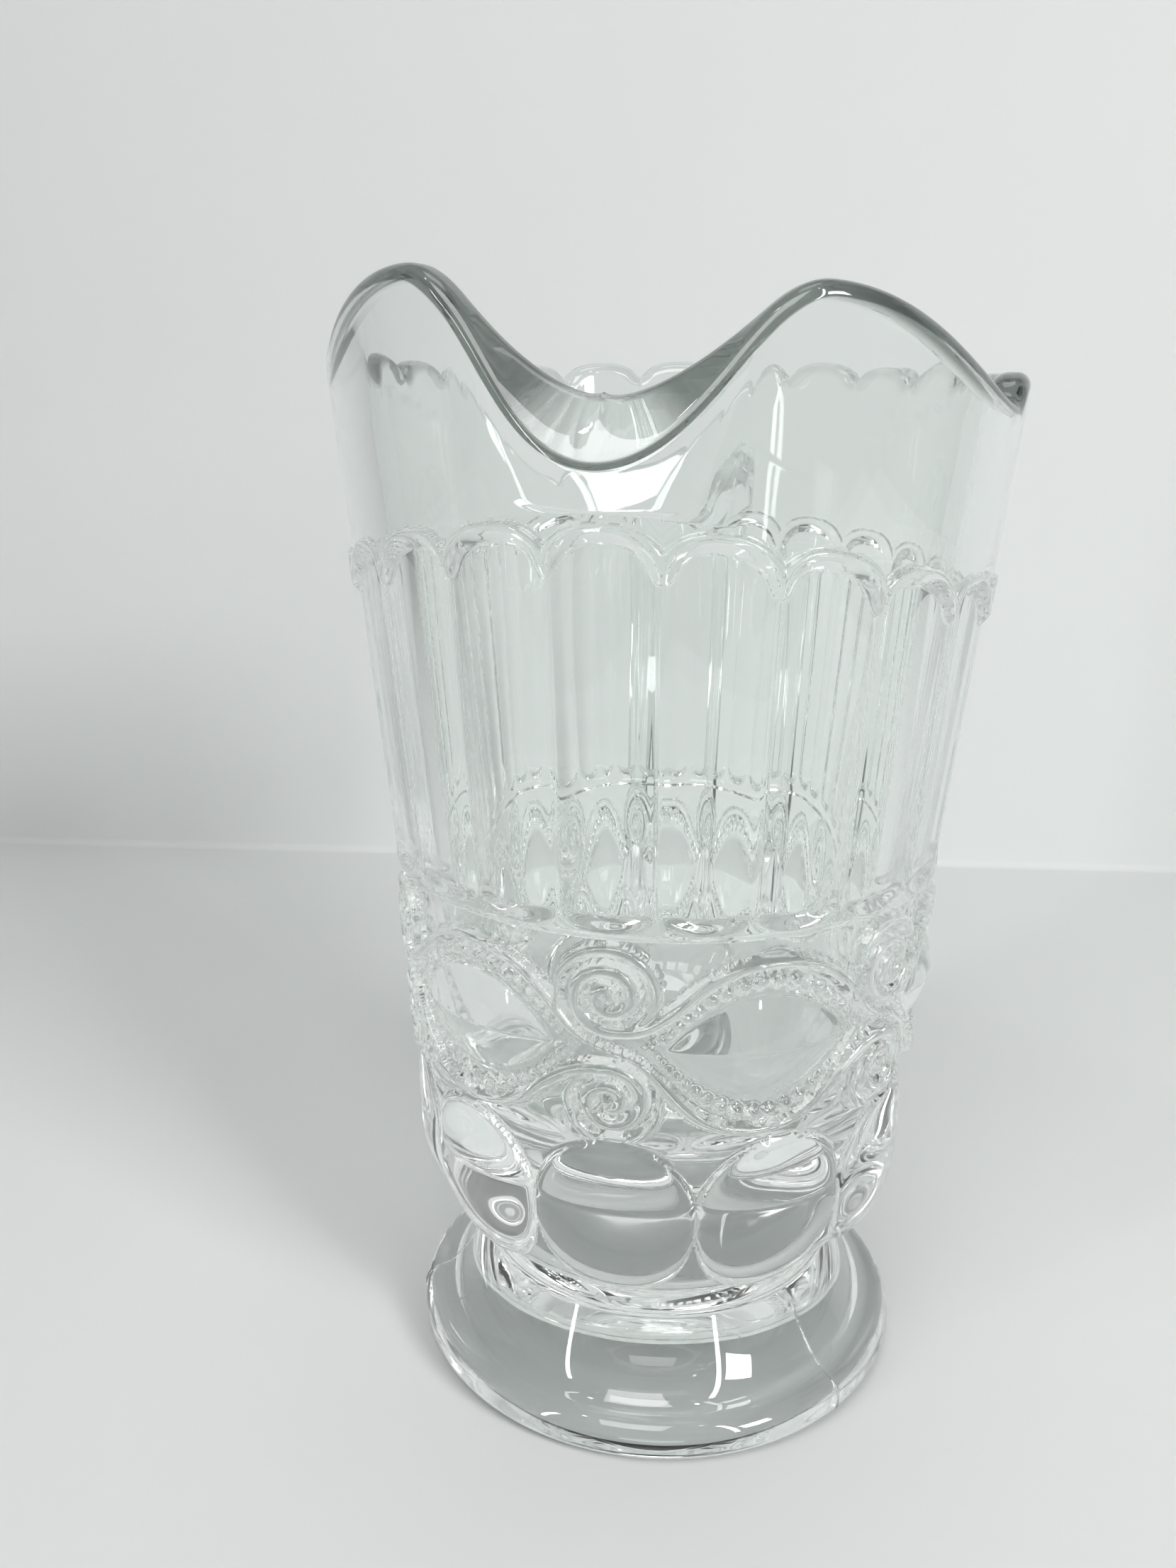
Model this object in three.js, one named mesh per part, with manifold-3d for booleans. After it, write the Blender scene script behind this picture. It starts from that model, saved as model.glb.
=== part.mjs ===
// Footed creamer of clear pressed glass, in millimetres, +Z up.
// The spout points to -Y and the handle to +Y. Every piece is made about the creamer's own axis, and
// the whole is then set so that the origin lies under the middle of its overall length and width.
// Angles are measured round the axis from the spout towards +X, in radians unless a name says degrees.
// The real creamer is one pressing; its three masses are the bowl, the foot and the handle.

import * as THREE from 'three';
import { mergeVertices } from 'three/addons/utils/BufferGeometryUtils.js';
import Module from 'manifold-3d';

const wasm = await Module();
wasm.setup();

// Foot: a bell with a thick rounded rim and a hollowed underside.
const FOOT_RADIUS = 32;
const FOOT_RIM_THICKNESS = 5.6;
const FOOT_HEIGHT = 17.8;
const FOOT_HOLLOW_RADIUS = 25.5;
const FOOT_HOLLOW_DEPTH = 7.5;
const NECK_RADIUS = 22;
const NECK_COLLAR_HEIGHT = 3.4;
const FOOT_SEGMENTS = 48;

// Bowl: the levels of its zones above the foot's neck, and its radii there.
const BASE_HEIGHT = 24.7;
const BASE_RADIUS = 30.1;
const BASE_TOP_RADIUS = 31.0;
const BASE_ROUND_HEIGHT = 16.2;
const BAND_HEIGHT = 24.4;
const BAND_MIDDLE_SHARE = 0.48;
const BAND_MIDDLE_RADIUS = 32.1;
const BAND_TOP_RADIUS = 32.6;
const CONE_RADIUS = 33.8;
const CONE_TAPER = 0.105;
const WALL = 4.3;
const RIM_ROUNDING = 0.4;
const FLOOR_THICKNESS = 9.5;
const CAVITY_ROUND_HEIGHT = 20;

// Flutes: shallow concave scoops that meet in ridges, each under an arch with a raised rounded edge.
const FLUTE_COUNT = 21;
const FLUTE_DEPTH = 1.1;
const FLUTE_LEDGE = 0.9;
const FLUTE_FOOT_RISE = 1.2;
const ARCH_LINE_HEIGHT = 31.7;
const ARCH_LINE_SPOUT_RISE = 6.4;
const ARCH_LINE_HANDLE_RISE = 4.0;
const ARCH_RISE = 4.0;
const ARCH_SHARPNESS = 2.4;
const ARCH_EDGE_WIDTH = 1.9;
const ARCH_EDGE_LIFT = 0.75;
const ARCH_CREST_SHARE = 0.8;
const ARCH_OUTSIDE_SHARE = 0.35;

// Rim: a low spout between two tall lobes, then one small scallop over each flute.
const RIM_HEIGHT = 65.2;
const SPOUT_DROP = 15.8;
const LOBE_PEAK_DEGREES = 30;
const LOBE_FLUTES = 4;
const SCALLOP_DROP_SIDE = 6.3;
const SCALLOP_DROP_HANDLE = 3.9;
const SCALLOP_DEPTH = 3;
const RIM_LEAN = 1.3;
const RIM_LEAN_TWIST = 0.4;
const LEAN_START = 7.6;

// Spout: a solid lip that stands out from the wall and slopes down to its edge.
const LIP_REACH = 4.2;
const LIP_CREST_RISE = 5.1;
const LIP_CREST_REACH = 1.5;
const LIP_HALF_ANGLE_DEGREES = 22;
const LIP_FLARE_HEIGHT = 20;

// Scroll band: eyes between pairs of volutes, tied by running S-shaped bands.
const REPEAT_COUNT = 6;
const EYE_HALF_WIDTH = 10.3;
const EYE_HALF_HEIGHT = 6.1;
const EYE_FULLNESS = 0.8;
const EYE_FACE_CURVE = 1.5;
const EYE_LIFT = 1.9;
const VOLUTE_OFFSET = 6.6;
const VOLUTE_RADIUS = 5.2;
const VOLUTE_EYE_RADIUS = 1.5;
const VOLUTE_TURNS = 1.8;
const VOLUTE_START_DEGREES = -66;
const SCROLL_BAND_CREST = 10.2;
const SCROLL_BAND_WIDTH = 1.7;
const SCROLL_BAND_ROOT_SHARE = 0.7;
const SCROLL_BAND_LIFT = 1.5;

// Way of a running band from its volute to the middle of the next column, in shares of the
// repeat's width across and of the band's crest up.
const SCROLL_WAY = [[-0.79, 0.56], [-0.5, 1], [-0.225, 0.62], [-0.12, 0.18], [0, 0]];

// Thumbprints: broad convex ovals round the bottom of the bowl, the first of them under the spout.
const THUMBPRINT_COUNT = 10;
const THUMBPRINT_LIFT = 1.6;
const THUMBPRINT_EDGE_GAP = 0.4;
const THUMBPRINT_START_SHARE = 0.2;

// Handle: a six-sided loop from the plain band down to the scroll band, thicker at its roots.
const HANDLE_WIDTH = 9.6;
const HANDLE_DEPTH = 9.0;
const HANDLE_WAIST = 0.84;
const HANDLE_ROOT_FLARE = 0.35;
const HANDLE_ROOT_SHARE = 0.16;
const HANDLE_REACH = 26.6;
const HANDLE_TOP_HEIGHT = 93.5;
const HANDLE_FOOT_HEIGHT = 32.9;
const HANDLE_CLEARANCE = 0.3;
const HANDLE_STEPS = 30;

// Controls of the handle's line in shares of its reach outward and of its span upward. The drops
// are measured down from the top root, and the last rise is measured up from the foot root.
const HANDLE_START_DROP = 0.03;
const HANDLE_SHOULDER = [0.5, 0.14];
const HANDLE_BEND = [1.03, 0.02];
const HANDLE_OUTEST_DROP = 0.33;
const HANDLE_BELLY = [0.97, -0.7];
const HANDLE_HEEL = [0.6, 0.06];

// Foot's underside and flare: controls in shares of the hollow's radius and depth, of the foot's
// radius and rim, and of the neck's radius and the collar's height.
const HOLLOW_CURVE = [[0.6, 1], [0.9, 0.5]];
const FLARE_START = [0.86, 1.1];
const FLARE_END = [1.14, 0.72];
const COLLAR_WIDENING = 1.04;
const FOOT_RIM_END_DEGREES = 75.6;

// Counts and levels of facets.
const FLUTE_STEPS = 6;
const LOWER_COLUMNS = 36;
const INNER_COLUMNS = 63;
const VOLUTE_STEPS = 10;
const PAD_STEPS = 16;
const BASE_LEVELS = [0.08, 0.19, 0.33, 0.49];
const PLAIN_BAND_LEVELS = [0.45, 0.8];
const OUTER_EDGE_LEVELS = [0, 0.55, 1];
const INNER_EDGE_LEVELS = [0, 0.5, 1];
const INNER_WALL_LEVELS = [0.3, 0.7, 1];
const CAVITY_ROUND_DEGREES = [70, 50, 30, 15];

// How deep an added feature is rooted in the glass under it.
const ROOT_DEPTH = 1.2;

const TAU = Math.PI * 2;
const baseTopZ = FOOT_HEIGHT + BASE_HEIGHT;
const coneStartZ = baseTopZ + BAND_HEIGHT;
const bandMiddleZ = baseTopZ + BAND_HEIGHT * BAND_MIDDLE_SHARE;
const rimZ = coneStartZ + RIM_HEIGHT;
const floorZ = FOOT_HEIGHT + FLOOR_THICKNESS;
const edgeRadius = WALL * RIM_ROUNDING;
const fluteAngle = TAU / FLUTE_COUNT;
const repeatAngle = TAU / REPEAT_COUNT;

function easeCosine(t) {
  return (1 - Math.cos(Math.PI * THREE.MathUtils.clamp(t, 0, 1))) / 2;
}

// The angle folded to the nearer side of the spout, from 0 at the spout to pi at the handle.
function angleFromSpout(angle) {
  return Math.abs(Math.atan2(Math.sin(angle), Math.cos(angle)));
}

// Position across one flute: 0 on its middle line, 1 on the ridge at either side.
function acrossFlute(angle) {
  const turns = angle / fluteAngle;
  return Math.abs(turns - Math.round(turns)) * 2;
}

function archProfile(across) {
  return Math.sqrt(Math.max(0, 1 - across ** ARCH_SHARPNESS));
}

function coneRadius(z) {
  return CONE_RADIUS + CONE_TAPER * (z - coneStartZ);
}

// The hot rim settled a little lower on the +X side, and less so further down the wall.
function leaned(angle, z) {
  const share = THREE.MathUtils.clamp((z - coneStartZ - LEAN_START) / (RIM_HEIGHT - LEAN_START), 0, 1);
  return z - RIM_LEAN * share * (Math.sin(angle) + RIM_LEAN_TWIST * Math.sin(2 * angle));
}

// Height of the crest of the arches' raised edges.
function archZ(angle) {
  const rise = Math.cos(angle) > 0 ? ARCH_LINE_SPOUT_RISE : ARCH_LINE_HANDLE_RISE;
  const cuspZ = coneStartZ + ARCH_LINE_HEIGHT + rise * Math.cos(angle) ** 2;
  return cuspZ + ARCH_RISE * archProfile(acrossFlute(angle));
}

function scallopZ(angle) {
  const towardsHandle = Math.max(0, -Math.cos(angle)) ** 2;
  const drop = THREE.MathUtils.lerp(SCALLOP_DROP_SIDE, SCALLOP_DROP_HANDLE, towardsHandle);
  return rimZ - drop - SCALLOP_DEPTH * (1 - archProfile(acrossFlute(angle)));
}

// Height of the top of the rim at the outer edge.
function rimTopZ(angle) {
  const turn = angleFromSpout(angle);
  const peak = THREE.MathUtils.degToRad(LOBE_PEAK_DEGREES);
  const lobeEnd = (LOBE_FLUTES + 0.5) * fluteAngle;
  if (turn < peak) {
    return rimZ - SPOUT_DROP * (1 - easeCosine(turn / peak));
  }
  if (turn < lobeEnd) {
    const lowest = rimZ - SCALLOP_DROP_SIDE - SCALLOP_DEPTH;
    return THREE.MathUtils.lerp(rimZ, lowest, easeCosine((turn - peak) / (lobeEnd - peak)));
  }
  return scallopZ(angle);
}

// Share of the lip's form at an angle: 1 on the spout's middle line, 0 past the lip.
function lipShare(angle) {
  const half = THREE.MathUtils.degToRad(LIP_HALF_ANGLE_DEGREES);
  return 1 - easeCosine(angleFromSpout(angle) / half);
}

function cavityRadius(z) {
  return coneRadius(z) - WALL;
}

function onAxis(radius, angle, z) {
  return new THREE.Vector3(radius * Math.sin(angle), -radius * Math.cos(angle), z);
}

// One level of a round form: the same number of points at even angles.
function ring(count, pointAt) {
  return Array.from({ length: count }, (_, i) => pointAt((i * TAU) / count));
}

// Closed surface through rings of points. A ring of one point is a pole, and neighbouring rings
// may have different counts: the strip between them steps along whichever ring lags behind.
function loft(rings) {
  const vertices = [];
  const starts = rings.map((points) => {
    const start = vertices.length;
    vertices.push(...points);
    return start;
  });
  const indices = [];
  for (let k = 0; k + 1 < rings.length; k += 1) {
    const low = rings[k].length;
    const high = rings[k + 1].length;
    const lowAt = (i) => starts[k] + (i % low);
    const highAt = (j) => starts[k + 1] + (j % high);
    let i = 0;
    let j = 0;
    const lowSteps = low > 1 ? low : 0;
    const highSteps = high > 1 ? high : 0;
    while (i < lowSteps || j < highSteps) {
      const stepLow = j === highSteps || (i < lowSteps && (i + 1) * high <= (j + 1) * low);
      if (stepLow) {
        indices.push(lowAt(i), lowAt(i + 1), highAt(j));
        i += 1;
      } else {
        indices.push(lowAt(i), highAt(j + 1), highAt(j));
        j += 1;
      }
    }
  }
  const geometry = new THREE.BufferGeometry().setFromPoints(vertices);
  geometry.setIndex(indices);
  return geometry;
}

// Union-ready solid of a closed geometry.
function toSolid(geometry) {
  const bare = geometry.clone();
  bare.deleteAttribute('normal');
  bare.deleteAttribute('uv');
  const merged = mergeVertices(bare, 1e-5);
  return new wasm.Manifold(new wasm.Mesh({
    numProp: 3,
    vertProperties: new Float32Array(merged.attributes.position.array),
    triVerts: new Uint32Array(merged.index.array),
  }));
}

function toGeometry(solid) {
  const mesh = solid.getMesh();
  const geometry = new THREE.BufferGeometry();
  geometry.setAttribute('position', new THREE.BufferAttribute(new Float32Array(mesh.vertProperties), 3));
  geometry.setIndex(new THREE.BufferAttribute(new Uint32Array(mesh.triVerts), 1));
  geometry.computeVertexNormals();
  return geometry;
}

function joinAll(solid, features) {
  return features.reduce((joined, feature) => joined.add(toSolid(feature)), solid);
}

// Meridian of the bowl's lower half, in radius and height, from the neck to the foot of the flutes.
function lowerMeridian() {
  const path = new THREE.Path();
  const width = BASE_RADIUS - NECK_RADIUS;
  path.moveTo(NECK_RADIUS, FOOT_HEIGHT);
  const roundTop = FOOT_HEIGHT + BASE_ROUND_HEIGHT;
  path.absellipse(NECK_RADIUS, roundTop, width, BASE_ROUND_HEIGHT, -Math.PI / 2, 0, false, 0);
  path.lineTo(BASE_TOP_RADIUS, baseTopZ);
  path.lineTo(BAND_MIDDLE_RADIUS, bandMiddleZ);
  path.lineTo(BAND_TOP_RADIUS, coneStartZ);
  return path;
}

const meridian = lowerMeridian();
const meridianLength = meridian.getLength();

// Distance along the meridian at which it reaches a height.
function meridianAt(z) {
  let low = 0;
  let high = meridianLength;
  for (let i = 0; i < 40; i += 1) {
    const middle = (low + high) / 2;
    if (meridian.getPointAt(middle / meridianLength).y < z) {
      low = middle;
    } else {
      high = middle;
    }
  }
  return (low + high) / 2;
}

// Point over the lower half of the bowl: angle, distance along the meridian, and lift off it.
function overBowl(angle, along, lift) {
  const t = THREE.MathUtils.clamp(along / meridianLength, 0, 1);
  const point = meridian.getPointAt(t);
  const tangent = meridian.getTangentAt(t);
  return onAxis(point.x + tangent.y * lift, angle, point.y - tangent.x * lift);
}

// Raised pad with a rooted underside. outlineAt gives its edge, in millimetres across and along,
// and liftAt its height over the glass at a place given the same way from its middle.
function pad(angle, along, radius, outlineAt, liftAt, steps, levels) {
  const point = (share, turn, lift) => {
    const place = outlineAt(turn).multiplyScalar(share);
    return overBowl(angle + place.x / radius, along + place.y, lift ?? liftAt(place));
  };
  const rings = [[overBowl(angle, along, -2 * ROOT_DEPTH)]];
  rings.push(ring(steps, (turn) => point(1, turn, -ROOT_DEPTH)));
  for (let level = 0; level < levels; level += 1) {
    const share = Math.cos((level * Math.PI) / 2 / levels);
    rings.push(ring(steps, (turn) => point(share, turn)));
  }
  rings.push([point(0, 0)]);
  return loft(rings);
}

function thumbprint(angle) {
  const top = meridianAt(baseTopZ);
  const bottom = meridianAt(FOOT_HEIGHT + BASE_ROUND_HEIGHT * THUMBPRINT_START_SHARE);
  const halfWidth = (Math.PI * BASE_RADIUS) / THUMBPRINT_COUNT;
  const halfHeight = (top - bottom) / 2;
  const outlineAt = (turn) => new THREE.Vector2(halfWidth * Math.cos(turn), halfHeight * Math.sin(turn));
  const liftAt = (place) => {
    const share = Math.hypot(place.x / halfWidth, place.y / halfHeight);
    return THUMBPRINT_LIFT * Math.sqrt(Math.max(0, 1 - share ** 2)) - THUMBPRINT_EDGE_GAP * share;
  };
  return pad(angle, (top + bottom) / 2, BASE_RADIUS, outlineAt, liftAt, PAD_STEPS, 3);
}

// Almond lens: its top and bottom edges are arcs, and a level crease runs from corner to corner.
function eye(angle) {
  const heightAt = (x) => EYE_HALF_HEIGHT * Math.max(0, 1 - (x / EYE_HALF_WIDTH) ** 2) ** EYE_FULLNESS;
  const outlineAt = (turn) => {
    const x = EYE_HALF_WIDTH * Math.cos(turn);
    return new THREE.Vector2(x, heightAt(x) * Math.sign(Math.round(100 * Math.sin(turn))));
  };
  const liftAt = (place) => {
    const upFromCrease = Math.abs(place.y) / Math.max(heightAt(place.x), 1e-6);
    const crease = EYE_LIFT * Math.sqrt(Math.max(0, 1 - (place.x / EYE_HALF_WIDTH) ** 2));
    return crease * Math.max(0, 1 - upFromCrease ** EYE_FACE_CURVE);
  };
  return pad(angle, meridianAt(bandMiddleZ), BAND_MIDDLE_RADIUS, outlineAt, liftAt, PAD_STEPS, 2);
}

// Centre line of one running band, in millimetres across and up from the middle of its column.
// It starts in the upper volute one repeat to the left, runs over an eye, crosses the column's
// middle and ends, turned half round, in the lower volute one repeat to the right.
function scrollLine() {
  const pitch = repeatAngle * BAND_MIDDLE_RADIUS;
  const half = [];
  const spiralPoint = (t) => {
    const radius = THREE.MathUtils.lerp(VOLUTE_RADIUS, VOLUTE_EYE_RADIUS, t);
    const turn = THREE.MathUtils.degToRad(VOLUTE_START_DEGREES) - VOLUTE_TURNS * TAU * t;
    return new THREE.Vector2(-pitch + radius * Math.cos(turn), VOLUTE_OFFSET + radius * Math.sin(turn));
  };
  const spiralSteps = Math.round(VOLUTE_TURNS * VOLUTE_STEPS);
  for (let i = spiralSteps; i >= 1; i -= 1) {
    half.push(spiralPoint(i / spiralSteps));
  }
  const way = SCROLL_WAY.map(([x, y]) => new THREE.Vector2(x * pitch, y * SCROLL_BAND_CREST));
  const over = new THREE.SplineCurve([spiralPoint(0), ...way]);
  half.push(...over.getSpacedPoints(VOLUTE_STEPS));
  const rest = half.slice(0, -1).reverse().map((p) => new THREE.Vector2(-p.x, -p.y));
  return [...half, ...rest];
}

// One running band as a rounded ridge along its centre line, rooted in the glass.
function scrollBand(angle) {
  const line = scrollLine();
  const along = meridianAt(bandMiddleZ);
  const rootHalf = SCROLL_BAND_WIDTH * SCROLL_BAND_ROOT_SHARE;
  const section = [[-rootHalf, -ROOT_DEPTH], [rootHalf, -ROOT_DEPTH], [0, SCROLL_BAND_LIFT]];
  const rings = line.map((point, i) => {
    const before = line[Math.max(0, i - 1)];
    const after = line[Math.min(line.length - 1, i + 1)];
    const side = new THREE.Vector2(before.y - after.y, after.x - before.x).normalize();
    return section.map(([offset, lift]) => {
      const place = side.clone().multiplyScalar(offset).add(point);
      return overBowl(angle + place.x / BAND_MIDDLE_RADIUS, along + place.y, lift);
    });
  });
  const middleOf = (points) => {
    const total = points.reduce((sum, p) => sum.add(p), new THREE.Vector3());
    return total.divideScalar(points.length);
  };
  return loft([[middleOf(rings[0])], ...rings, [middleOf(rings.at(-1))]]);
}

// Bowl without its pressed pattern below the flutes: one loft up the outside, over the rim and
// down the inside to the floor of the cavity.
function bowlBody() {
  const rings = [
    [new THREE.Vector3(0, 0, FOOT_HEIGHT)],
    ring(LOWER_COLUMNS, (angle) => onAxis(NECK_RADIUS, angle, FOOT_HEIGHT)),
  ];
  const lowerLevels = BASE_LEVELS.map((share) => share * meridianLength);
  lowerLevels.push(meridianAt(baseTopZ), meridianAt(bandMiddleZ), meridianLength);
  lowerLevels.forEach((along) => rings.push(ring(LOWER_COLUMNS, (angle) => overBowl(angle, along, 0))));

  const columns = FLUTE_COUNT * FLUTE_STEPS;
  const fluteRadius = (angle, z) => coneRadius(z) - FLUTE_DEPTH * (1 - acrossFlute(angle) ** 2);
  const ledgeZ = coneStartZ + FLUTE_LEDGE / 2;
  rings.push(ring(LOWER_COLUMNS, (angle) => onAxis(coneRadius(ledgeZ), angle, ledgeZ)));
  rings.push(ring(columns, (angle) => {
    const z = coneStartZ + FLUTE_LEDGE + FLUTE_FOOT_RISE * acrossFlute(angle) ** 2;
    return onAxis(fluteRadius(angle, z), angle, z);
  }));
  const archLevel = (offset, radiusAt) => ring(columns, (angle) => {
    const z = archZ(angle) + offset;
    return onAxis(radiusAt(angle, z), angle, leaned(angle, z));
  });
  rings.push(archLevel(-ARCH_EDGE_WIDTH, fluteRadius));
  rings.push(archLevel(-ARCH_EDGE_WIDTH / 2, (angle, z) => coneRadius(z) + ARCH_EDGE_LIFT));
  rings.push(archLevel(0, (angle, z) => coneRadius(z) + ARCH_EDGE_LIFT * ARCH_CREST_SHARE));
  rings.push(archLevel(ARCH_EDGE_WIDTH * ARCH_OUTSIDE_SHARE, (angle, z) => coneRadius(z)));

  const wallTop = (angle) => rimTopZ(angle) - edgeRadius;
  const flareShare = (angle, z) => {
    const start = wallTop(angle) - LIP_FLARE_HEIGHT;
    return lipShare(angle) * THREE.MathUtils.clamp((z - start) / LIP_FLARE_HEIGHT, 0, 1) ** 2;
  };
  const outerRadius = (angle, z) => coneRadius(z) + LIP_REACH * flareShare(angle, z);
  const innerRadius = (angle, z) => cavityRadius(z) + LIP_CREST_REACH * flareShare(angle, z);
  const belowRim = (angle, share) => {
    const lowest = archZ(angle) + ARCH_EDGE_WIDTH * ARCH_OUTSIDE_SHARE;
    return THREE.MathUtils.lerp(lowest, wallTop(angle), share);
  };
  PLAIN_BAND_LEVELS.forEach((share) => {
    rings.push(ring(columns, (angle) => {
      const z = belowRim(angle, share);
      return onAxis(outerRadius(angle, z), angle, leaned(angle, z));
    }));
  });

  // The rim's edge turns about an outer centre, then about an inner one, which the lip sets apart.
  const thickness = WALL / 2 - edgeRadius;
  const outerCentre = (angle) => {
    const z = wallTop(angle);
    return new THREE.Vector2(outerRadius(angle, z) - edgeRadius, z);
  };
  const innerCentre = (angle) => {
    const z = wallTop(angle) + LIP_CREST_RISE * lipShare(angle);
    return new THREE.Vector2(innerRadius(angle, z) + edgeRadius, z);
  };
  const facing = (angle) => {
    const across = outerCentre(angle).x - innerCentre(angle).x;
    return Math.atan2(Math.max(across, thickness), innerCentre(angle).y - outerCentre(angle).y);
  };
  const edgeRing = (centreAt, turnAt) => ring(columns, (angle) => {
    const centre = centreAt(angle);
    const turn = turnAt(angle);
    const z = centre.y + edgeRadius * Math.sin(turn);
    return onAxis(centre.x + edgeRadius * Math.cos(turn), angle, leaned(angle, z));
  });
  OUTER_EDGE_LEVELS.forEach((share) => {
    rings.push(edgeRing(outerCentre, (angle) => share * facing(angle)));
  });
  INNER_EDGE_LEVELS.forEach((share) => {
    rings.push(edgeRing(innerCentre, (angle) => THREE.MathUtils.lerp(facing(angle), Math.PI, share)));
  });

  const cavityStart = baseTopZ + CAVITY_ROUND_HEIGHT - BASE_HEIGHT + FLOOR_THICKNESS;
  INNER_WALL_LEVELS.forEach((share) => {
    rings.push(ring(INNER_COLUMNS, (angle) => {
      const z = THREE.MathUtils.lerp(innerCentre(angle).y, cavityStart, share);
      return onAxis(innerRadius(angle, z), angle, leaned(angle, z));
    }));
  });
  CAVITY_ROUND_DEGREES.forEach((degrees) => {
    const turn = THREE.MathUtils.degToRad(degrees);
    const radius = cavityRadius(cavityStart) * Math.sin(turn);
    const z = cavityStart - CAVITY_ROUND_HEIGHT * Math.cos(turn);
    rings.push(ring(INNER_COLUMNS, (angle) => onAxis(radius, angle, z)));
  });
  rings.push([new THREE.Vector3(0, 0, floorZ)]);
  return loft(rings);
}

function bowlGeometry() {
  const features = [];
  for (let k = 0; k < REPEAT_COUNT; k += 1) {
    const column = k * repeatAngle;
    features.push(scrollBand(column));
    features.push(eye(column + repeatAngle / 2));
  }
  for (let k = 0; k < THUMBPRINT_COUNT; k += 1) {
    features.push(thumbprint((k * 2 * Math.PI) / THUMBPRINT_COUNT));
  }
  return toGeometry(joinAll(toSolid(bowlBody()), features));
}

// Bell foot: collar at the neck, concave flare, rounded rim, resting ring and hollowed underside.
function footGeometry() {
  const rimHalf = FOOT_RIM_THICKNESS / 2;
  const collarZ = FOOT_HEIGHT - NECK_COLLAR_HEIGHT;
  const profile = new THREE.Path();
  profile.moveTo(0, FOOT_HOLLOW_DEPTH);
  const hollow = HOLLOW_CURVE.flatMap(([r, z]) => [r * FOOT_HOLLOW_RADIUS, z * FOOT_HOLLOW_DEPTH]);
  profile.bezierCurveTo(...hollow, FOOT_HOLLOW_RADIUS, 0);
  profile.lineTo(FOOT_RADIUS - rimHalf, 0);
  const rimEnd = THREE.MathUtils.degToRad(FOOT_RIM_END_DEGREES);
  profile.absarc(FOOT_RADIUS - rimHalf, rimHalf, rimHalf, -Math.PI / 2, rimEnd, false);
  const flareStart = [FOOT_RADIUS * FLARE_START[0], FOOT_RIM_THICKNESS * FLARE_START[1]];
  const flareEnd = [NECK_RADIUS * FLARE_END[0], collarZ * FLARE_END[1]];
  profile.bezierCurveTo(...flareStart, ...flareEnd, NECK_RADIUS * COLLAR_WIDENING, collarZ);
  profile.lineTo(NECK_RADIUS, FOOT_HEIGHT);
  profile.lineTo(0, FOOT_HEIGHT);
  const isNew = (point, i, all) => i === 0 || point.distanceTo(all[i - 1]) > 1e-4;
  const points = profile.getPoints(5).filter(isNew);
  points[0].x = 0;
  points.at(-1).x = 0;
  const lathe = new THREE.LatheGeometry(points, FOOT_SEGMENTS);
  lathe.rotateX(Math.PI / 2);
  return toGeometry(toSolid(lathe));
}

// Centre line of the handle, in the plane through the axis and the handle.
function handleLine() {
  const topZ = FOOT_HEIGHT + HANDLE_TOP_HEIGHT;
  const footZ = FOOT_HEIGHT + HANDLE_FOOT_HEIGHT;
  const topY = coneRadius(topZ);
  const footY = coneRadius(footZ);
  const span = topZ - footZ;
  const curve = new THREE.CurvePath();
  const point = (y, z) => new THREE.Vector3(0, y, z);
  const control = (wallY, z, [out, up]) => point(wallY + out * HANDLE_REACH, z + up * span);
  const outest = point(topY + HANDLE_REACH, topZ - span * HANDLE_OUTEST_DROP);
  curve.add(new THREE.CubicBezierCurve3(
    point(topY - WALL, topZ - span * HANDLE_START_DROP),
    control(topY, topZ, HANDLE_SHOULDER),
    control(topY, topZ, HANDLE_BEND),
    outest,
  ));
  curve.add(new THREE.CubicBezierCurve3(
    outest,
    control(topY, topZ, HANDLE_BELLY),
    control(footY, footZ, HANDLE_HEEL),
    point(footY - WALL, footZ),
  ));
  return curve;
}

// Plain solid that clears everything on the bowl by the given gap, to seat the handle's ends on it.
function bowlEnvelope(gap) {
  const archLowZ = coneStartZ + ARCH_LINE_HEIGHT - ARCH_EDGE_WIDTH;
  const archHighZ = coneStartZ + ARCH_LINE_HEIGHT + ARCH_LINE_HANDLE_RISE + ARCH_RISE + ARCH_EDGE_LIFT;
  const patternRadius = BAND_MIDDLE_RADIUS + Math.max(EYE_LIFT, SCROLL_BAND_LIFT);
  const profile = [
    new THREE.Vector2(0, FOOT_HEIGHT),
    new THREE.Vector2(patternRadius + gap, FOOT_HEIGHT),
    new THREE.Vector2(BAND_TOP_RADIUS + SCROLL_BAND_LIFT + gap, coneStartZ),
    new THREE.Vector2(coneRadius(coneStartZ) + gap, coneStartZ + FLUTE_LEDGE),
    new THREE.Vector2(coneRadius(archLowZ) + gap, archLowZ - ARCH_EDGE_LIFT),
    new THREE.Vector2(coneRadius(archLowZ) + ARCH_EDGE_LIFT + gap, archLowZ),
    new THREE.Vector2(coneRadius(archHighZ) + ARCH_EDGE_LIFT + gap, archHighZ - ARCH_EDGE_LIFT),
    new THREE.Vector2(coneRadius(archHighZ) + gap, archHighZ),
    new THREE.Vector2(coneRadius(rimZ) + gap, rimZ),
    new THREE.Vector2(0, rimZ),
  ];
  const lathe = new THREE.LatheGeometry(profile, FLUTE_COUNT * 4);
  lathe.rotateX(Math.PI / 2);
  return lathe;
}

// Size of the handle's section at a share of its length: slimmer half way, flared at the roots.
function handleSize(t) {
  const fromEnd = THREE.MathUtils.smoothstep(Math.min(t, 1 - t), 0, HANDLE_ROOT_SHARE);
  return THREE.MathUtils.lerp(1, HANDLE_WAIST, Math.sin(Math.PI * t)) + HANDLE_ROOT_FLARE * (1 - fromEnd);
}

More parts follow.
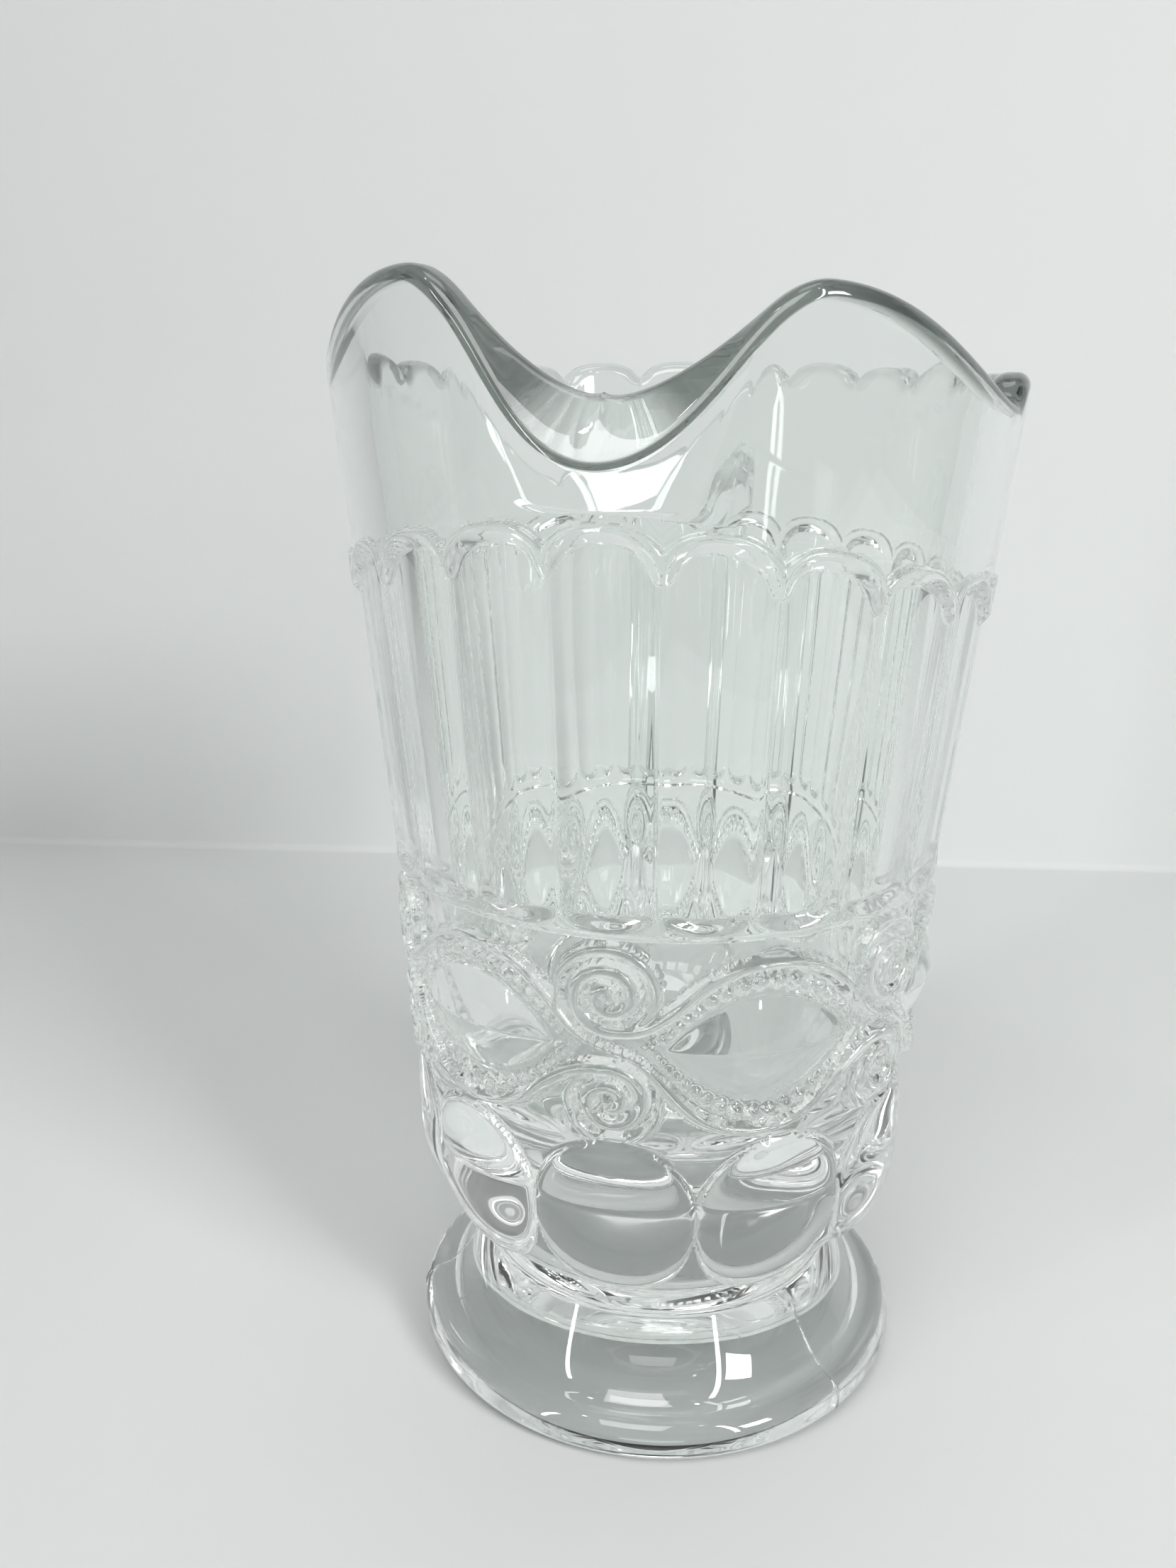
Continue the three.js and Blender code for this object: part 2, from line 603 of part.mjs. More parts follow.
// Six-sided loop with flat sides and a ridge along its top and underside, cut to the bowl at both ends.
function handleGeometry() {
  const line = handleLine();
  const rings = [];
  for (let i = 0; i <= HANDLE_STEPS; i += 1) {
    const t = i / HANDLE_STEPS;
    const centre = line.getPointAt(t);
    const tangent = line.getTangentAt(t);
    const inward = new THREE.Vector3(0, tangent.z, -tangent.y);
    const size = handleSize(t);
    rings.push(ring(6, (turn) => new THREE.Vector3(1, 0, 0)
      .multiplyScalar((size * HANDLE_WIDTH * Math.sin(turn)) / Math.sqrt(3))
      .addScaledVector(inward, (-size * HANDLE_DEPTH * Math.cos(turn)) / 2)
      .add(centre)));
  }
  const solid = toSolid(loft([[line.getPointAt(0)], ...rings, [line.getPointAt(1)]]));
  return toGeometry(solid.subtract(toSolid(bowlEnvelope(HANDLE_CLEARANCE))));
}

function clearGlass() {
  return new THREE.MeshStandardMaterial({
    color: 0xc9cfcb,
    roughness: 0.04,
    metalness: 0,
    transparent: true,
    opacity: 0.35,
  });
}

function glassPiece(name, geometry) {
  const mesh = new THREE.Mesh(geometry, clearGlass());
  mesh.name = name;
  return mesh;
}

const group = new THREE.Group();
group.add(glassPiece('bowl', bowlGeometry()));
group.add(glassPiece('foot', footGeometry()));
group.add(glassPiece('handle', handleGeometry()));
const middle = new THREE.Box3().setFromObject(group).getCenter(new THREE.Vector3());
group.position.set(-middle.x, -middle.y, 0);

export default group;
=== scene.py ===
"""Footed creamer of clear pressed glass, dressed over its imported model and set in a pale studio.

Lengths in the shape code are millimetres, measured from the creamer's own axis, with +Z up. Angles
run round the axis from the spout, which points to -Y, towards +X. Meshes are written in metres.
"""

from __future__ import annotations

import logging
import math
from dataclasses import dataclass, field
from enum import Enum
from typing import Sequence

import bpy
import numpy as np
from mathutils import Matrix, Vector


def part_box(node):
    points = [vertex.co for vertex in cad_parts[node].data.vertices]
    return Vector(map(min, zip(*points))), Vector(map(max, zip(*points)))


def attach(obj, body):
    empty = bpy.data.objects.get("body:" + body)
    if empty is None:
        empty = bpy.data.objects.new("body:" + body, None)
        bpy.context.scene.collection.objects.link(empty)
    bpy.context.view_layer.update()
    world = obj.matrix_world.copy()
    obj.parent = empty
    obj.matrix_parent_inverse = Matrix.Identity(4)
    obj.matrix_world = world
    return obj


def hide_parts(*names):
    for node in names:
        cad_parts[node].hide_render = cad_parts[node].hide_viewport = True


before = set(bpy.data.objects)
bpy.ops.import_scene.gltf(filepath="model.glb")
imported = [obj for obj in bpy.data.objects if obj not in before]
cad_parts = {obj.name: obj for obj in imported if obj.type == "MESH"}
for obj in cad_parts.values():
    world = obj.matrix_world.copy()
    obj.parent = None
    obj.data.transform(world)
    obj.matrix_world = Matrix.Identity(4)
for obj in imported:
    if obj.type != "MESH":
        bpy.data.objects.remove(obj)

LOG = logging.getLogger("creamer")
METRES = 0.001
TAU = 2 * math.pi
# Name of the point attribute that carries the rim's painted shade.
RIM_SHADE_ATTRIBUTE = "rim_depth"
COLUMNS = 840
FINE_STEPS = 400
VIEW_TURN = 9.54
SHARP_DEGREES = 60
GLASS_BOUNCES = 48

Array = np.ndarray
Colour = tuple[float, float, float, float]
Place = tuple[float, float, float]


class Side(Enum):
    """What a strip of faces is: glass that meets the air, or glass that runs on into its neighbour."""

    AIR = 0
    JOINT = 1


def ease(share: Array | float) -> Array:
    """Half a cosine wave: 0 at share 0, 1 at share 1, level at both ends."""
    return (1 - np.cos(math.pi * np.clip(share, 0, 1))) / 2


def smooth_step(low: float, high: float, value: Array) -> Array:
    """The cubic 3t^2 - 2t^3 of how far value lies from low to high."""
    share = np.clip((value - low) / (high - low), 0, 1)
    return share * share * (3 - 2 * share)


def blend(first: Array | float, second: Array | float, share: Array | float) -> Array:
    """Straight mix of two values, all of the first at share 0."""
    return first + (second - first) * share


def half_round(distance: Array, half_width: Array | float) -> Array:
    """Half a circle's height over a ridge: sqrt(1 - (distance / half_width)^2), and 0 beside it."""
    return np.sqrt(np.clip(1 - (distance / half_width) ** 2, 0, None))


def rounded(values: Array, reach: int) -> Array:
    """Mean of each value with its neighbours round a closed ring, weighted like a hat.

    Args:
        values: One value for each column.
        reach: How many neighbours count on either side.

    Returns:
        The softened values.
    """
    offsets = np.arange(-reach, reach + 1)
    weights = 1 - np.abs(offsets) / (reach + 1)
    ringed = np.stack([np.roll(values, int(k)) for k in offsets])
    return (ringed * (weights / weights.sum())[:, None]).sum(0)


def smooth_line(points: Sequence[Sequence[float]], steps: int) -> Array:
    """Catmull-Rom curve through points of any number of values, with the same steps in each span.

    Args:
        points: The points passed through.
        steps: Steps from each point to the next.

    Returns:
        The points of the curve, both ends included.
    """
    given = np.asarray(points, float)
    padded = np.vstack([2 * given[0] - given[1], given, 2 * given[-1] - given[-2]])
    a, b, c, d = padded[:-3], padded[1:-2], padded[2:-1], padded[3:]
    t = (np.arange(steps) / steps)[:, None, None]
    spans = b + 0.5 * t * (c - a + t * (2 * a - 5 * b + 4 * c - d + t * (3 * (b - c) + d - a)))
    return np.vstack([spans.transpose(1, 0, 2).reshape(-1, given.shape[1]), given[-1:]])
def beside(*values: Array | float) -> Array:
    """Sets values side by side along a new last axis, all of them spread to one shape."""
    return np.stack(np.broadcast_arrays(*values), axis=-1)


def bezier(*corners: Sequence[float], steps: int) -> Array:
    """Cubic Bezier curve of four corners, with both its ends, cut into the given steps."""
    t = np.linspace(0, 1, steps + 1)[:, None]
    a, b, c, d = (np.array(corner, float) for corner in corners)
    return (1 - t) ** 3 * a + 3 * (1 - t) ** 2 * t * b + 3 * (1 - t) * t**2 * c + t**3 * d


def travelled(points: Array) -> Array:
    """Length along a line up to each of its points."""
    return np.concatenate([[0], np.cumsum(np.hypot(*np.diff(points, axis=0).T))])


def read_off(at: Array, places: Array, points: Array) -> Array:
    """Points of a line at other places along it, by straight steps between the known ones."""
    return beside(*(np.interp(at, places, values) for values in points.T))


def wrapped(value: Array, period: float) -> Array:
    """Signed distance from the nearest whole number of periods."""
    return value - period * np.round(value / period)


def near_line(u: Array, v: Array, line: Array, pitch: float) -> tuple[Array, Array]:
    """Finds the nearest point on each step of a line that repeats at every pitch.

    Args:
        u: Distance across of each place.
        v: Distance up of each place.
        line: Points of the line, with across and up first.
        pitch: Distance across from one repeat to the next.

    Returns:
        How far away the nearest point of each step is, and its share of the way along the step.
    """
    start, step = line[:-1, :2], np.diff(line[:, :2], axis=0)
    du = wrapped(u[..., None] - start[:, 0], pitch)
    dv = v[..., None] - start[:, 1]
    length = np.maximum((step**2).sum(-1), 1e-9)
    share = np.clip((du * step[:, 0] + dv * step[:, 1]) / length, 0, 1)
    return np.hypot(du - share * step[:, 0], dv - share * step[:, 1]), share
@dataclass(frozen=True)
class CreamerForm:
    """Sizes and formulas that the pieces share.

    Args:
        axis_y: Where the creamer's axis stands along Y in the frame, in millimetres.
    """

    axis_y: float
    foot_top: float = 17.8
    neck_radius: float = 22.0
    base_top: float = 42.5
    base_top_radius: float = 31.0
    band_top: float = 66.9
    band_middle: float = 54.2
    band_middle_radius: float = 32.1
    band_top_radius: float = 32.6
    wall_start: float = 72.0
    cone_radius: float = 33.8
    cone_taper: float = 0.105
    wall: float = 4.3
    floor: float = 27.3
    cavity_round: float = 20.0
    flutes: int = 21
    flute_depth: float = 1.1
    ridge_rounding: float = 0.07
    repeats: int = 6
    rim_top: float = 132.1
    lean: float = 1.3
    lean_start: float = 74.5
    lean_skew: float = 0.4

    def angles(self) -> Array:
        """Angle of each column of the grids, from the spout round to it again."""
        return np.arange(COLUMNS) * TAU / COLUMNS

    def cone(self, z: Array) -> Array:
        """Outer radius of the tapered wall at a height: a straight line from the scroll band up."""
        return self.cone_radius + self.cone_taper * (z - self.band_top)

    def cavity(self, z: Array) -> Array:
        """Inner radius: the cone less the wall, then a quarter of an ellipse down to the floor."""
        start = self.floor + self.cavity_round
        depth = np.clip((start - z) / self.cavity_round, 0, 1)
        return (self.cone(np.maximum(z, start)) - self.wall) * np.sqrt(1 - depth**2)

    def leaned(self, angle: Array, z: Array) -> Array:
        """Height after the hot rim settled: lower on the +X side by a wave that fades down the wall."""
        share = np.clip((z - self.lean_start) / (self.rim_top - self.lean_start), 0, 1)
        return z - self.lean * share * (np.sin(angle) + self.lean_skew * np.sin(2 * angle))

    def across_flute(self, angle: Array) -> Array:
        """0 on a flute's middle line and 1 on the ridge at either side."""
        return 2 * np.abs(wrapped(angle * self.flutes / TAU, 1))

    def scoop(self, angle: Array) -> Array:
        """Depth of the flutes: depth * (1 - across^2), a shallow scoop, with its ridges rounded over.

        The distance t from the ridge is softened to sqrt(t^2 + e^2) - e.
        """
        away = np.hypot(1 - self.across_flute(angle), self.ridge_rounding) - self.ridge_rounding
        return self.flute_depth * (1 - (1 - away) ** 2)

    def fluted(self, angle: Array, z: Array) -> Array:
        """Outer radius of the fluted wall: the cone less the scoop of the flutes."""
        return self.cone(z) - self.scoop(angle)

    def point(self, radius: Array, angle: Array, z: Array) -> Array:
        """Places in space of radii, angles and heights of matching shapes."""
        return beside(radius * np.sin(angle), self.axis_y - radius * np.cos(angle), z)

    def rows(self, radii: Array, heights: Array) -> Array:
        """Level rings of a round form, one for each pair of radius and height."""
        return self.point(radii[:, None], self.angles(), heights[:, None])

    def middle(self, z: float) -> Array:
        """The point of the axis at a height."""
        return np.array([0, self.axis_y, z])


@dataclass
class Surface:
    """A closed surface gathered from rings of points, each ring as long as the next.

    The rings run up the outside of the piece and down its inside. The last ring joins the first,
    unless the surface ends in poles.
    """

    rings: list[Array] = field(default_factory=list)
    sides: list[Side] = field(default_factory=list)
    # Painted shade of the rim at each point, one array for each call to add.
    painted_shades: list[Array] = field(default_factory=list)

    def add(self, rings: Array, side: Side = Side.AIR, depth: Array | float = 0.0) -> None:
        """Adds rings.

        Args:
            rings: Points by ring and column.
            side: What the strip is that leads to the first of them.
            depth: How strong the rim's painted shade is at each point, from 0 to 1.
        """
        self.rings.append(rings)
        self.sides += [side] + [Side.AIR] * (len(rings) - 1)
        self.painted_shades.append(np.broadcast_to(depth, rings.shape[:2]).ravel())

    def mesh(
        self,
        name: str,
        poles: tuple[Array, Array] | None = None,
        pole_sides: tuple[Side, Side] = (Side.AIR, Side.AIR),
    ) -> bpy.types.Mesh:
        """Makes the mesh: quads between rings, and a fan of triangles to each pole.

        Args:
            name: The mesh's name.
            poles: The first and last point, where the rings don't close on themselves.
            pole_sides: What the fans at the first and at the last pole are.

        Returns:
            The mesh, in metres, with one material index for each kind of side.
        """
        rings = np.concatenate(self.rings)
        rows, columns = rings.shape[:2]
        vertices = rings.reshape(-1, 3)
        painted_shades = np.concatenate(self.painted_shades)
        index = np.arange(rows * columns).reshape(rows, columns)
        ahead = np.roll(index, -1, axis=1)
        strips = rows if poles is None else rows - 1
        above, above_ahead = (np.roll(part, -1, axis=0) for part in (index, ahead))
        faces = beside(index, ahead, above_ahead, above)[:strips].reshape(-1, 4).tolist()
        sides = np.array([side.value for side in self.sides])
        kinds = np.repeat(np.roll(sides, -1)[:strips], columns)
        if poles is not None:
            first = len(vertices)
            faces += beside(first, ahead[0], index[0]).tolist()
            faces += beside(index[-1], ahead[-1], first + 1).tolist()
            vertices = np.vstack([vertices, *poles])
            painted_shades = np.append(painted_shades, [0, 0])
            kinds = np.append(kinds, np.repeat([side.value for side in pole_sides], columns))
        made = bpy.data.meshes.new(name)
        made.from_pydata((vertices * METRES).tolist(), [], faces)
        made.attributes.new("material_index", "INT", "FACE").data.foreach_set("value", kinds.astype(np.int32))
        # The rim's painted shade goes on the points as an attribute that the glass's colour follows.
        made.attributes.new(RIM_SHADE_ATTRIBUTE, "FLOAT", "POINT").data.foreach_set("value", painted_shades)
        made.polygons.foreach_set("use_smooth", np.ones(len(kinds), bool))
        made.update()
        return made


class Expression:
    """A value in a node tree that Python's own operators can work on."""

    def __init__(self, sheet: "Sheet", socket: bpy.types.NodeSocket) -> None:
        """Wraps an output socket of the sheet's tree."""
        self.sheet = sheet
        self.socket = socket

    def _math(self, operation: str, first: "Operand", second: "Operand") -> "Expression":
        """Adds one Math node of two operands."""
        return self.sheet.node("ShaderNodeMath", {"operation": operation}, {0: first, 1: second})

    def __add__(self, other: "Operand") -> "Expression":
        """self + other."""
        return self._math("ADD", self, other)

    def __radd__(self, other: "Operand") -> "Expression":
        """other + self."""
        return self._math("ADD", other, self)

    def __mul__(self, other: "Operand") -> "Expression":
        """self * other."""
        return self._math("MULTIPLY", self, other)

    def __rmul__(self, other: "Operand") -> "Expression":
        """other * self."""
        return self._math("MULTIPLY", other, self)


Operand = Expression | float


class Sheet:
    """The node tree of a material or of the world, with its output node."""

    def __init__(self, tree: bpy.types.NodeTree, output: str) -> None:
        """Empties a tree and gives it an output node of the named type."""
        tree.nodes.clear()
        self.tree = tree
        self.output = tree.nodes.new(output)

    def node(
        self,
        kind: str,
        settings: dict[str, object] | None = None,
        inputs: dict[str | int, object] | None = None,
        output: str | int = 0,
    ) -> Expression:
        """Adds one node.

        Args:
            kind: The node's type.
            settings: Properties set first; "stops" gives a colour ramp's places and colours.
            inputs: Values or expressions by the name or number of the socket.
            output: The socket that is handed back.

        Returns:
            The chosen output as an expression.
        """
        made = self.tree.nodes.new(kind)
        for name, value in (settings or {}).items():
            if name == "stops":
                elements = made.color_ramp.elements
                while len(elements) < len(value):
                    elements.new(0.5)
                for element, (place, colour) in zip(elements, value):
                    element.position = place
                    element.color = colour
            else:
                setattr(made, name, value)
        for name, value in (inputs or {}).items():
            if isinstance(value, Expression):
                self.tree.links.new(value.socket, made.inputs[name])
            else:
                made.inputs[name].default_value = value
        return Expression(self, made.outputs[output])

    def mix(self, share: Expression, first: Colour, second: Colour | Expression) -> Expression:
        """Colour between two others, all of the first at share 0."""
        inputs = {"Factor": share, "A": first, "B": second}
        return self.node("ShaderNodeMix", {"data_type": "RGBA"}, inputs, "Result")

    def noise(self, scale: float, detail: float) -> Expression:
        """Soft noise from 0 to 1 on the piece's own coordinates, with scale in waves to the metre."""
        place = self.node("ShaderNodeTexCoord", output="Object")
        inputs = {"Vector": place, "Scale": scale, "Detail": detail}
        return self.node("ShaderNodeTexNoise", inputs=inputs, output="Fac")

    def finish(self, surface: Expression) -> None:
        """Links the finished shader to the output."""
        self.tree.links.new(surface.socket, self.output.inputs["Surface"])


def new_material(name: str) -> tuple[bpy.types.Material, Sheet]:
    """An empty node material and its sheet."""
    material = bpy.data.materials.new(name)
    material.use_nodes = True
    return material, Sheet(material.node_tree, "ShaderNodeOutputMaterial")


@dataclass(frozen=True)
class ClearGlass:
    """Fire-polished pressed glass: clear with a trace of grey green, a slightly wavy skin, and a painted
    shade that darkens the rim.

    Args:
        name: The material's name.
        tint: Colour that the light takes up at each surface.
        rim_shade_colour: Painted shade of the thick rounded rim: a dark grey colour standing in for the light
            that the rim leads away down the wall.
        ior: Refractive index of soda-lime glass.
        polish: Lowest roughness.
        haze: What the cloudier patches add to the roughness.
        patch_scale: Cloudy patches to the metre.
        wave_scale: Waves to the metre in the skin.
        wave_height: Depth of the waves in metres.
    """

    name: str
    tint: Colour = (0.965, 0.985, 0.975, 1.0)
    # Painted shade: the dark grey that the rim's colour is mixed towards.
    rim_shade_colour: Colour = (0.10, 0.115, 0.107, 1.0)
    ior: float = 1.5
    polish: float = 0.01
    haze: float = 0.025
    patch_scale: float = 40.0
    wave_scale: float = 75.0
    wave_height: float = 0.00006

    def build(self) -> bpy.types.Material:
        """Makes the material, whose colour darkens to a painted shade on the rim, following a point attribute
        of the mesh.
        """
        material, sheet = new_material(self.name)
        waves = sheet.noise(self.wave_scale, 1.0)
        bump = {"Strength": 1.0, "Distance": self.wave_height, "Height": waves}
        skin = sheet.node("ShaderNodeBump", inputs=bump)
        # Painted shade of the rim, read from the mesh's point attribute, mixes the colour towards the dark
        # rim colour.
        depth = sheet.node("ShaderNodeAttribute", {"attribute_name": RIM_SHADE_ATTRIBUTE}, output="Fac")
        inputs = {
            "Base Color": sheet.mix(depth, self.tint, self.rim_shade_colour),
            "Roughness": sheet.noise(self.patch_scale, 2.0) * self.haze + self.polish,
            "IOR": self.ior,
            "Transmission Weight": 1.0,
            "Normal": skin,
        }
        sheet.finish(sheet.node("ShaderNodeBsdfPrincipled", inputs=inputs))
        return material


@dataclass(frozen=True)
class HiddenJoint:
    """Finish of the faces where one piece's glass runs on into the next: nothing of them shows."""

    name: str = "glass_run_on"

    def build(self) -> bpy.types.Material:
        """Makes the material."""
        material, sheet = new_material(self.name)
        sheet.finish(sheet.node("ShaderNodeBsdfPrincipled", inputs={"Alpha": 0.0, "Roughness": 0.0}))
        return material


@dataclass(frozen=True)
class PalePaper:
    """Matt pale paper of the sweep, with faint clouding, left out where it is met from behind."""

    name: str = "pale_paper"
    light: Colour = (0.80, 0.82, 0.81, 1.0)
    dark: Colour = (0.74, 0.76, 0.755, 1.0)
    roughness: float = 0.85
    cloud_scale: float = 6.0

    def build(self) -> bpy.types.Material:
        """Makes the material."""
        material, sheet = new_material(self.name)
        colour = sheet.mix(sheet.noise(self.cloud_scale, 3.0), self.dark, self.light)
        inputs = {"Base Color": colour, "Roughness": self.roughness}
        paper = sheet.node("ShaderNodeBsdfPrincipled", inputs=inputs)
        behind = sheet.node("ShaderNodeNewGeometry", output="Backfacing")
        clear = sheet.node("ShaderNodeBsdfTransparent")
        sheet.finish(sheet.node("ShaderNodeMixShader", inputs={0: behind, 1: paper, 2: clear}))
        return material


def shown(name: str, data: bpy.types.ID) -> bpy.types.Object:
    """Puts a mesh, a lamp or a camera in the scene as an object."""
    made = bpy.data.objects.new(name, data)
    bpy.context.scene.collection.objects.link(made)
    return made


def joined(first: bpy.types.Mesh, second: bpy.types.Mesh) -> bpy.types.Mesh:
    """Fuses two closed meshes into one closed mesh and removes the two.

    Args:
        first: The larger mesh.
        second: A mesh that overlaps it, with the same materials.

    Returns:
        The union, under the first mesh's name.
    """
    name = first.name
    body, added = (shown(mesh.name, mesh) for mesh in (first, second))
    union = body.modifiers.new("union", "BOOLEAN")
    union.operation = "UNION"
    union.solver = "MANIFOLD"
    union.object = added
    graph = bpy.context.evaluated_depsgraph_get()
    fused = bpy.data.meshes.new_from_object(body.evaluated_get(graph))
    fused.polygons.foreach_set("use_smooth", np.ones(len(fused.polygons), bool))
    for scrap in (body, added):
        bpy.data.objects.remove(scrap)
    for mesh in (first, second):
        bpy.data.meshes.remove(mesh)
    fused.name = name
    return fused


@dataclass
class ScrollRelief:
    """Raised pattern of the scroll band, worked out over one repeat.

    Distances run across the surface and up it from the middle of a column of two volutes. The
    pattern looks the same turned half round, so only half of each line is given.

    Args:
        pitch: Distance across from one repeat to the next.
        u: Distance across of each place, at most half a pitch to either side.
        v: Distance up of each place.
    """

    pitch: float
    u: Array
    v: Array
    eye_half_width: float = 10.4
    eye_half_height: float = 6.0
    eye_edge: float = 0.35
    eye_crest: float = 2.0
    bead_half_width: float = 12.3
    bead_half_height: float = 8.0
    bead_small: float = 0.6
    bead_large: float = 1.85
    bead_gap: float = 1.05
    bead_power: float = 2.2
    channel: float = 0.3
    channel_margin: tuple[float, float] = (1.0, 1.6)
    volute_offset: float = 6.3
    spiral_start: float = 4.0
    spiral_pitch: float = 2.2
    spiral_turns: float = 1.45
    spiral_half_width: float = 1.08
    band_lift: float = 1.5
    boss_lift: float = 1.575
    boss_radius: float = 0.95

    def running_band(self) -> Array:
        """Centre line of a running band, with its half width and height, from a volute to the middle.

        The spiral shrinks evenly clockwise from the volute's bottom; from there the band rises over
        the eye and comes down to the middle of the next column.

        Returns:
            Points of the line as across, up, half width and height.
        """
        turn = np.linspace(self.spiral_turns, 0, 90)
        radius = self.spiral_start - self.spiral_pitch * turn
        angle = -math.pi / 2 - TAU * turn
        lift = self.band_lift
        half = self.pitch / 2
        around, over = radius * np.cos(angle), radius * np.sin(angle)
        spiral = beside(around - self.pitch, over + self.volute_offset, self.spiral_half_width, lift)
        bottom = self.volute_offset - self.spiral_start
        wave = smooth_line(
            [
                (-self.pitch, bottom, 1.05, lift),
                (-half - 14.4, bottom + 0.15, 1.02, lift),
                (-half - 12.2, bottom + 0.95, 1.0, lift),
                (-half - 9.6, 5.1, 1.0, lift),
                (-half - 6.8, 7.7, 0.95, lift),
                (-half - 3.6, 9.4, 0.85, lift),
                (-half, 10.0, 0.78, lift),
                (-half + 3.6, 9.6, 0.85, lift),
                (-half + 6.8, 8.2, 0.92, lift),
                (-half + 9.2, 6.2, 0.9, lift),
                (-half + 11.0, 4.1, 0.8, lift * 0.95),
                (-half + 12.8, 2.1, 0.65, lift * 0.9),
                (-half + 14.7, 0.75, 0.5, lift * 0.8),
                (0.0, 0.0, 0.42, lift * 0.75),
            ],
            8,
        )
        return np.vstack([spiral, wave])

    def outer_whorl(self) -> Array:
        """Centre line of the crescent round a volute, from its left over the top to its lower right.

        Returns:
            Points of the line as across, up, half width and height.
        """
        turn = np.linspace(0, 1, 60)
        angle = np.radians(blend(205, -78, turn))
        known = [0, 0.2, 0.45, 0.75, 1]
        radius = np.interp(turn, known, [5.75, 5.55, 5.25, 4.75, 3.65])
        width = np.interp(turn, known, [0.3, 0.7, 0.98, 0.85, 0.25])
        lift = blend(0.75, 0.95, np.sin(math.pi * turn)) * self.band_lift
        return beside(radius * np.cos(angle), radius * np.sin(angle) + self.volute_offset, width, lift)

    @property
    def from_eye(self) -> Array:
        """Distance across of each place from the middle of the nearest eye."""
        return np.abs(self.u) - self.pitch / 2

    def ridges(self, line: Array) -> Array:
        """Height of half-round ridges along a line and along the same line turned half round.

        For each place the nearest point on each step of the line is found, with the half width and
        height there, and the highest of all the ridges' half circles counts.

        Args:
            line: Points of the line as across, up, half width and height.

        Returns:
            The height at each place.
        """
        heights = []
        for way in (1, -1):
            away, share = near_line(way * self.u, way * self.v, line, self.pitch)
            width, lift = (line[:-1, k] + share * np.diff(line[:, k]) for k in (2, 3))
            heights.append((lift * half_round(away, width)).max(-1))
        return np.maximum(*heights)

    def bead_places(self) -> tuple[Array, Array, Array]:
        """Beads along the upper half of an eye's border: places across and up, and radii.

        The border is a parabola, and the beads follow each other at their own size, which grows
        from the corners to the middle.

        Returns:
            The beads' places across and up, and their radii.
        """
        u = np.linspace(-self.bead_half_width, self.bead_half_width, 2001)
        share = np.abs(u / self.bead_half_width)
        v = self.bead_half_height * (1 - share**2)
        size = blend(self.bead_small, self.bead_large, 1 - share**self.bead_power)
        steps = np.diff(travelled(beside(u, v)))
        passed = np.concatenate([[0], np.cumsum(steps / (self.bead_gap * size[1:]))])
        count = int(passed[-1])
        places = np.interp((np.arange(count) + 0.5) * passed[-1] / count, passed, u)
        return places, np.interp(places, u, v), np.interp(places, u, size) / 2

    def beads(self) -> Array:
        """Height of the beads: balls sunk to their middle in the channel round the eye."""
        across, up, radius = self.bead_places()
        away = np.hypot(self.from_eye[..., None] - across, np.abs(self.v)[..., None] - up)
        return (radius * half_round(away, radius)).max(-1)

    def eye(self) -> Array:
        """Height of the almond lens: two slightly swelling faces that meet in a level crease."""
        inside = np.clip(1 - (self.from_eye / self.eye_half_width) ** 2, 0, None)
        edge = np.maximum(self.eye_half_height * inside**0.85, 1e-6)
        share = np.abs(self.v) / edge
        crest = self.eye_edge + (self.eye_crest - self.eye_edge) * inside**0.7
        fall = 0.5 * share + 0.5 * share**2
        return np.where(share < 1, crest + (self.eye_edge - crest) * fall, 0)

    def channel_floor(self) -> Array:
        """Low step between the eye and the running bands, as far as the middle of the bands."""
        share = np.abs(self.from_eye / (self.bead_half_width + self.channel_margin[0]))
        half = self.bead_half_height + self.channel_margin[1]
        border = half * np.clip(1 - share**self.bead_power, 0, None)
        return np.where(np.abs(self.v) < border, self.channel, 0)

    def volute_boss(self) -> Array:
        """Height of the small ball in the middle of each volute."""
        away = np.hypot(self.u, np.abs(self.v) - self.volute_offset)
        return self.boss_lift * half_round(away, self.boss_radius)

    def height(self) -> Array:
        """Height of the whole pattern: the highest of its parts at each place."""
        ridges = [self.ridges(line) for line in (self.running_band(), self.outer_whorl())]
        rounds = [self.volute_boss(), self.eye(), self.channel_floor() + self.beads()]
        return np.maximum.reduce(ridges + rounds)


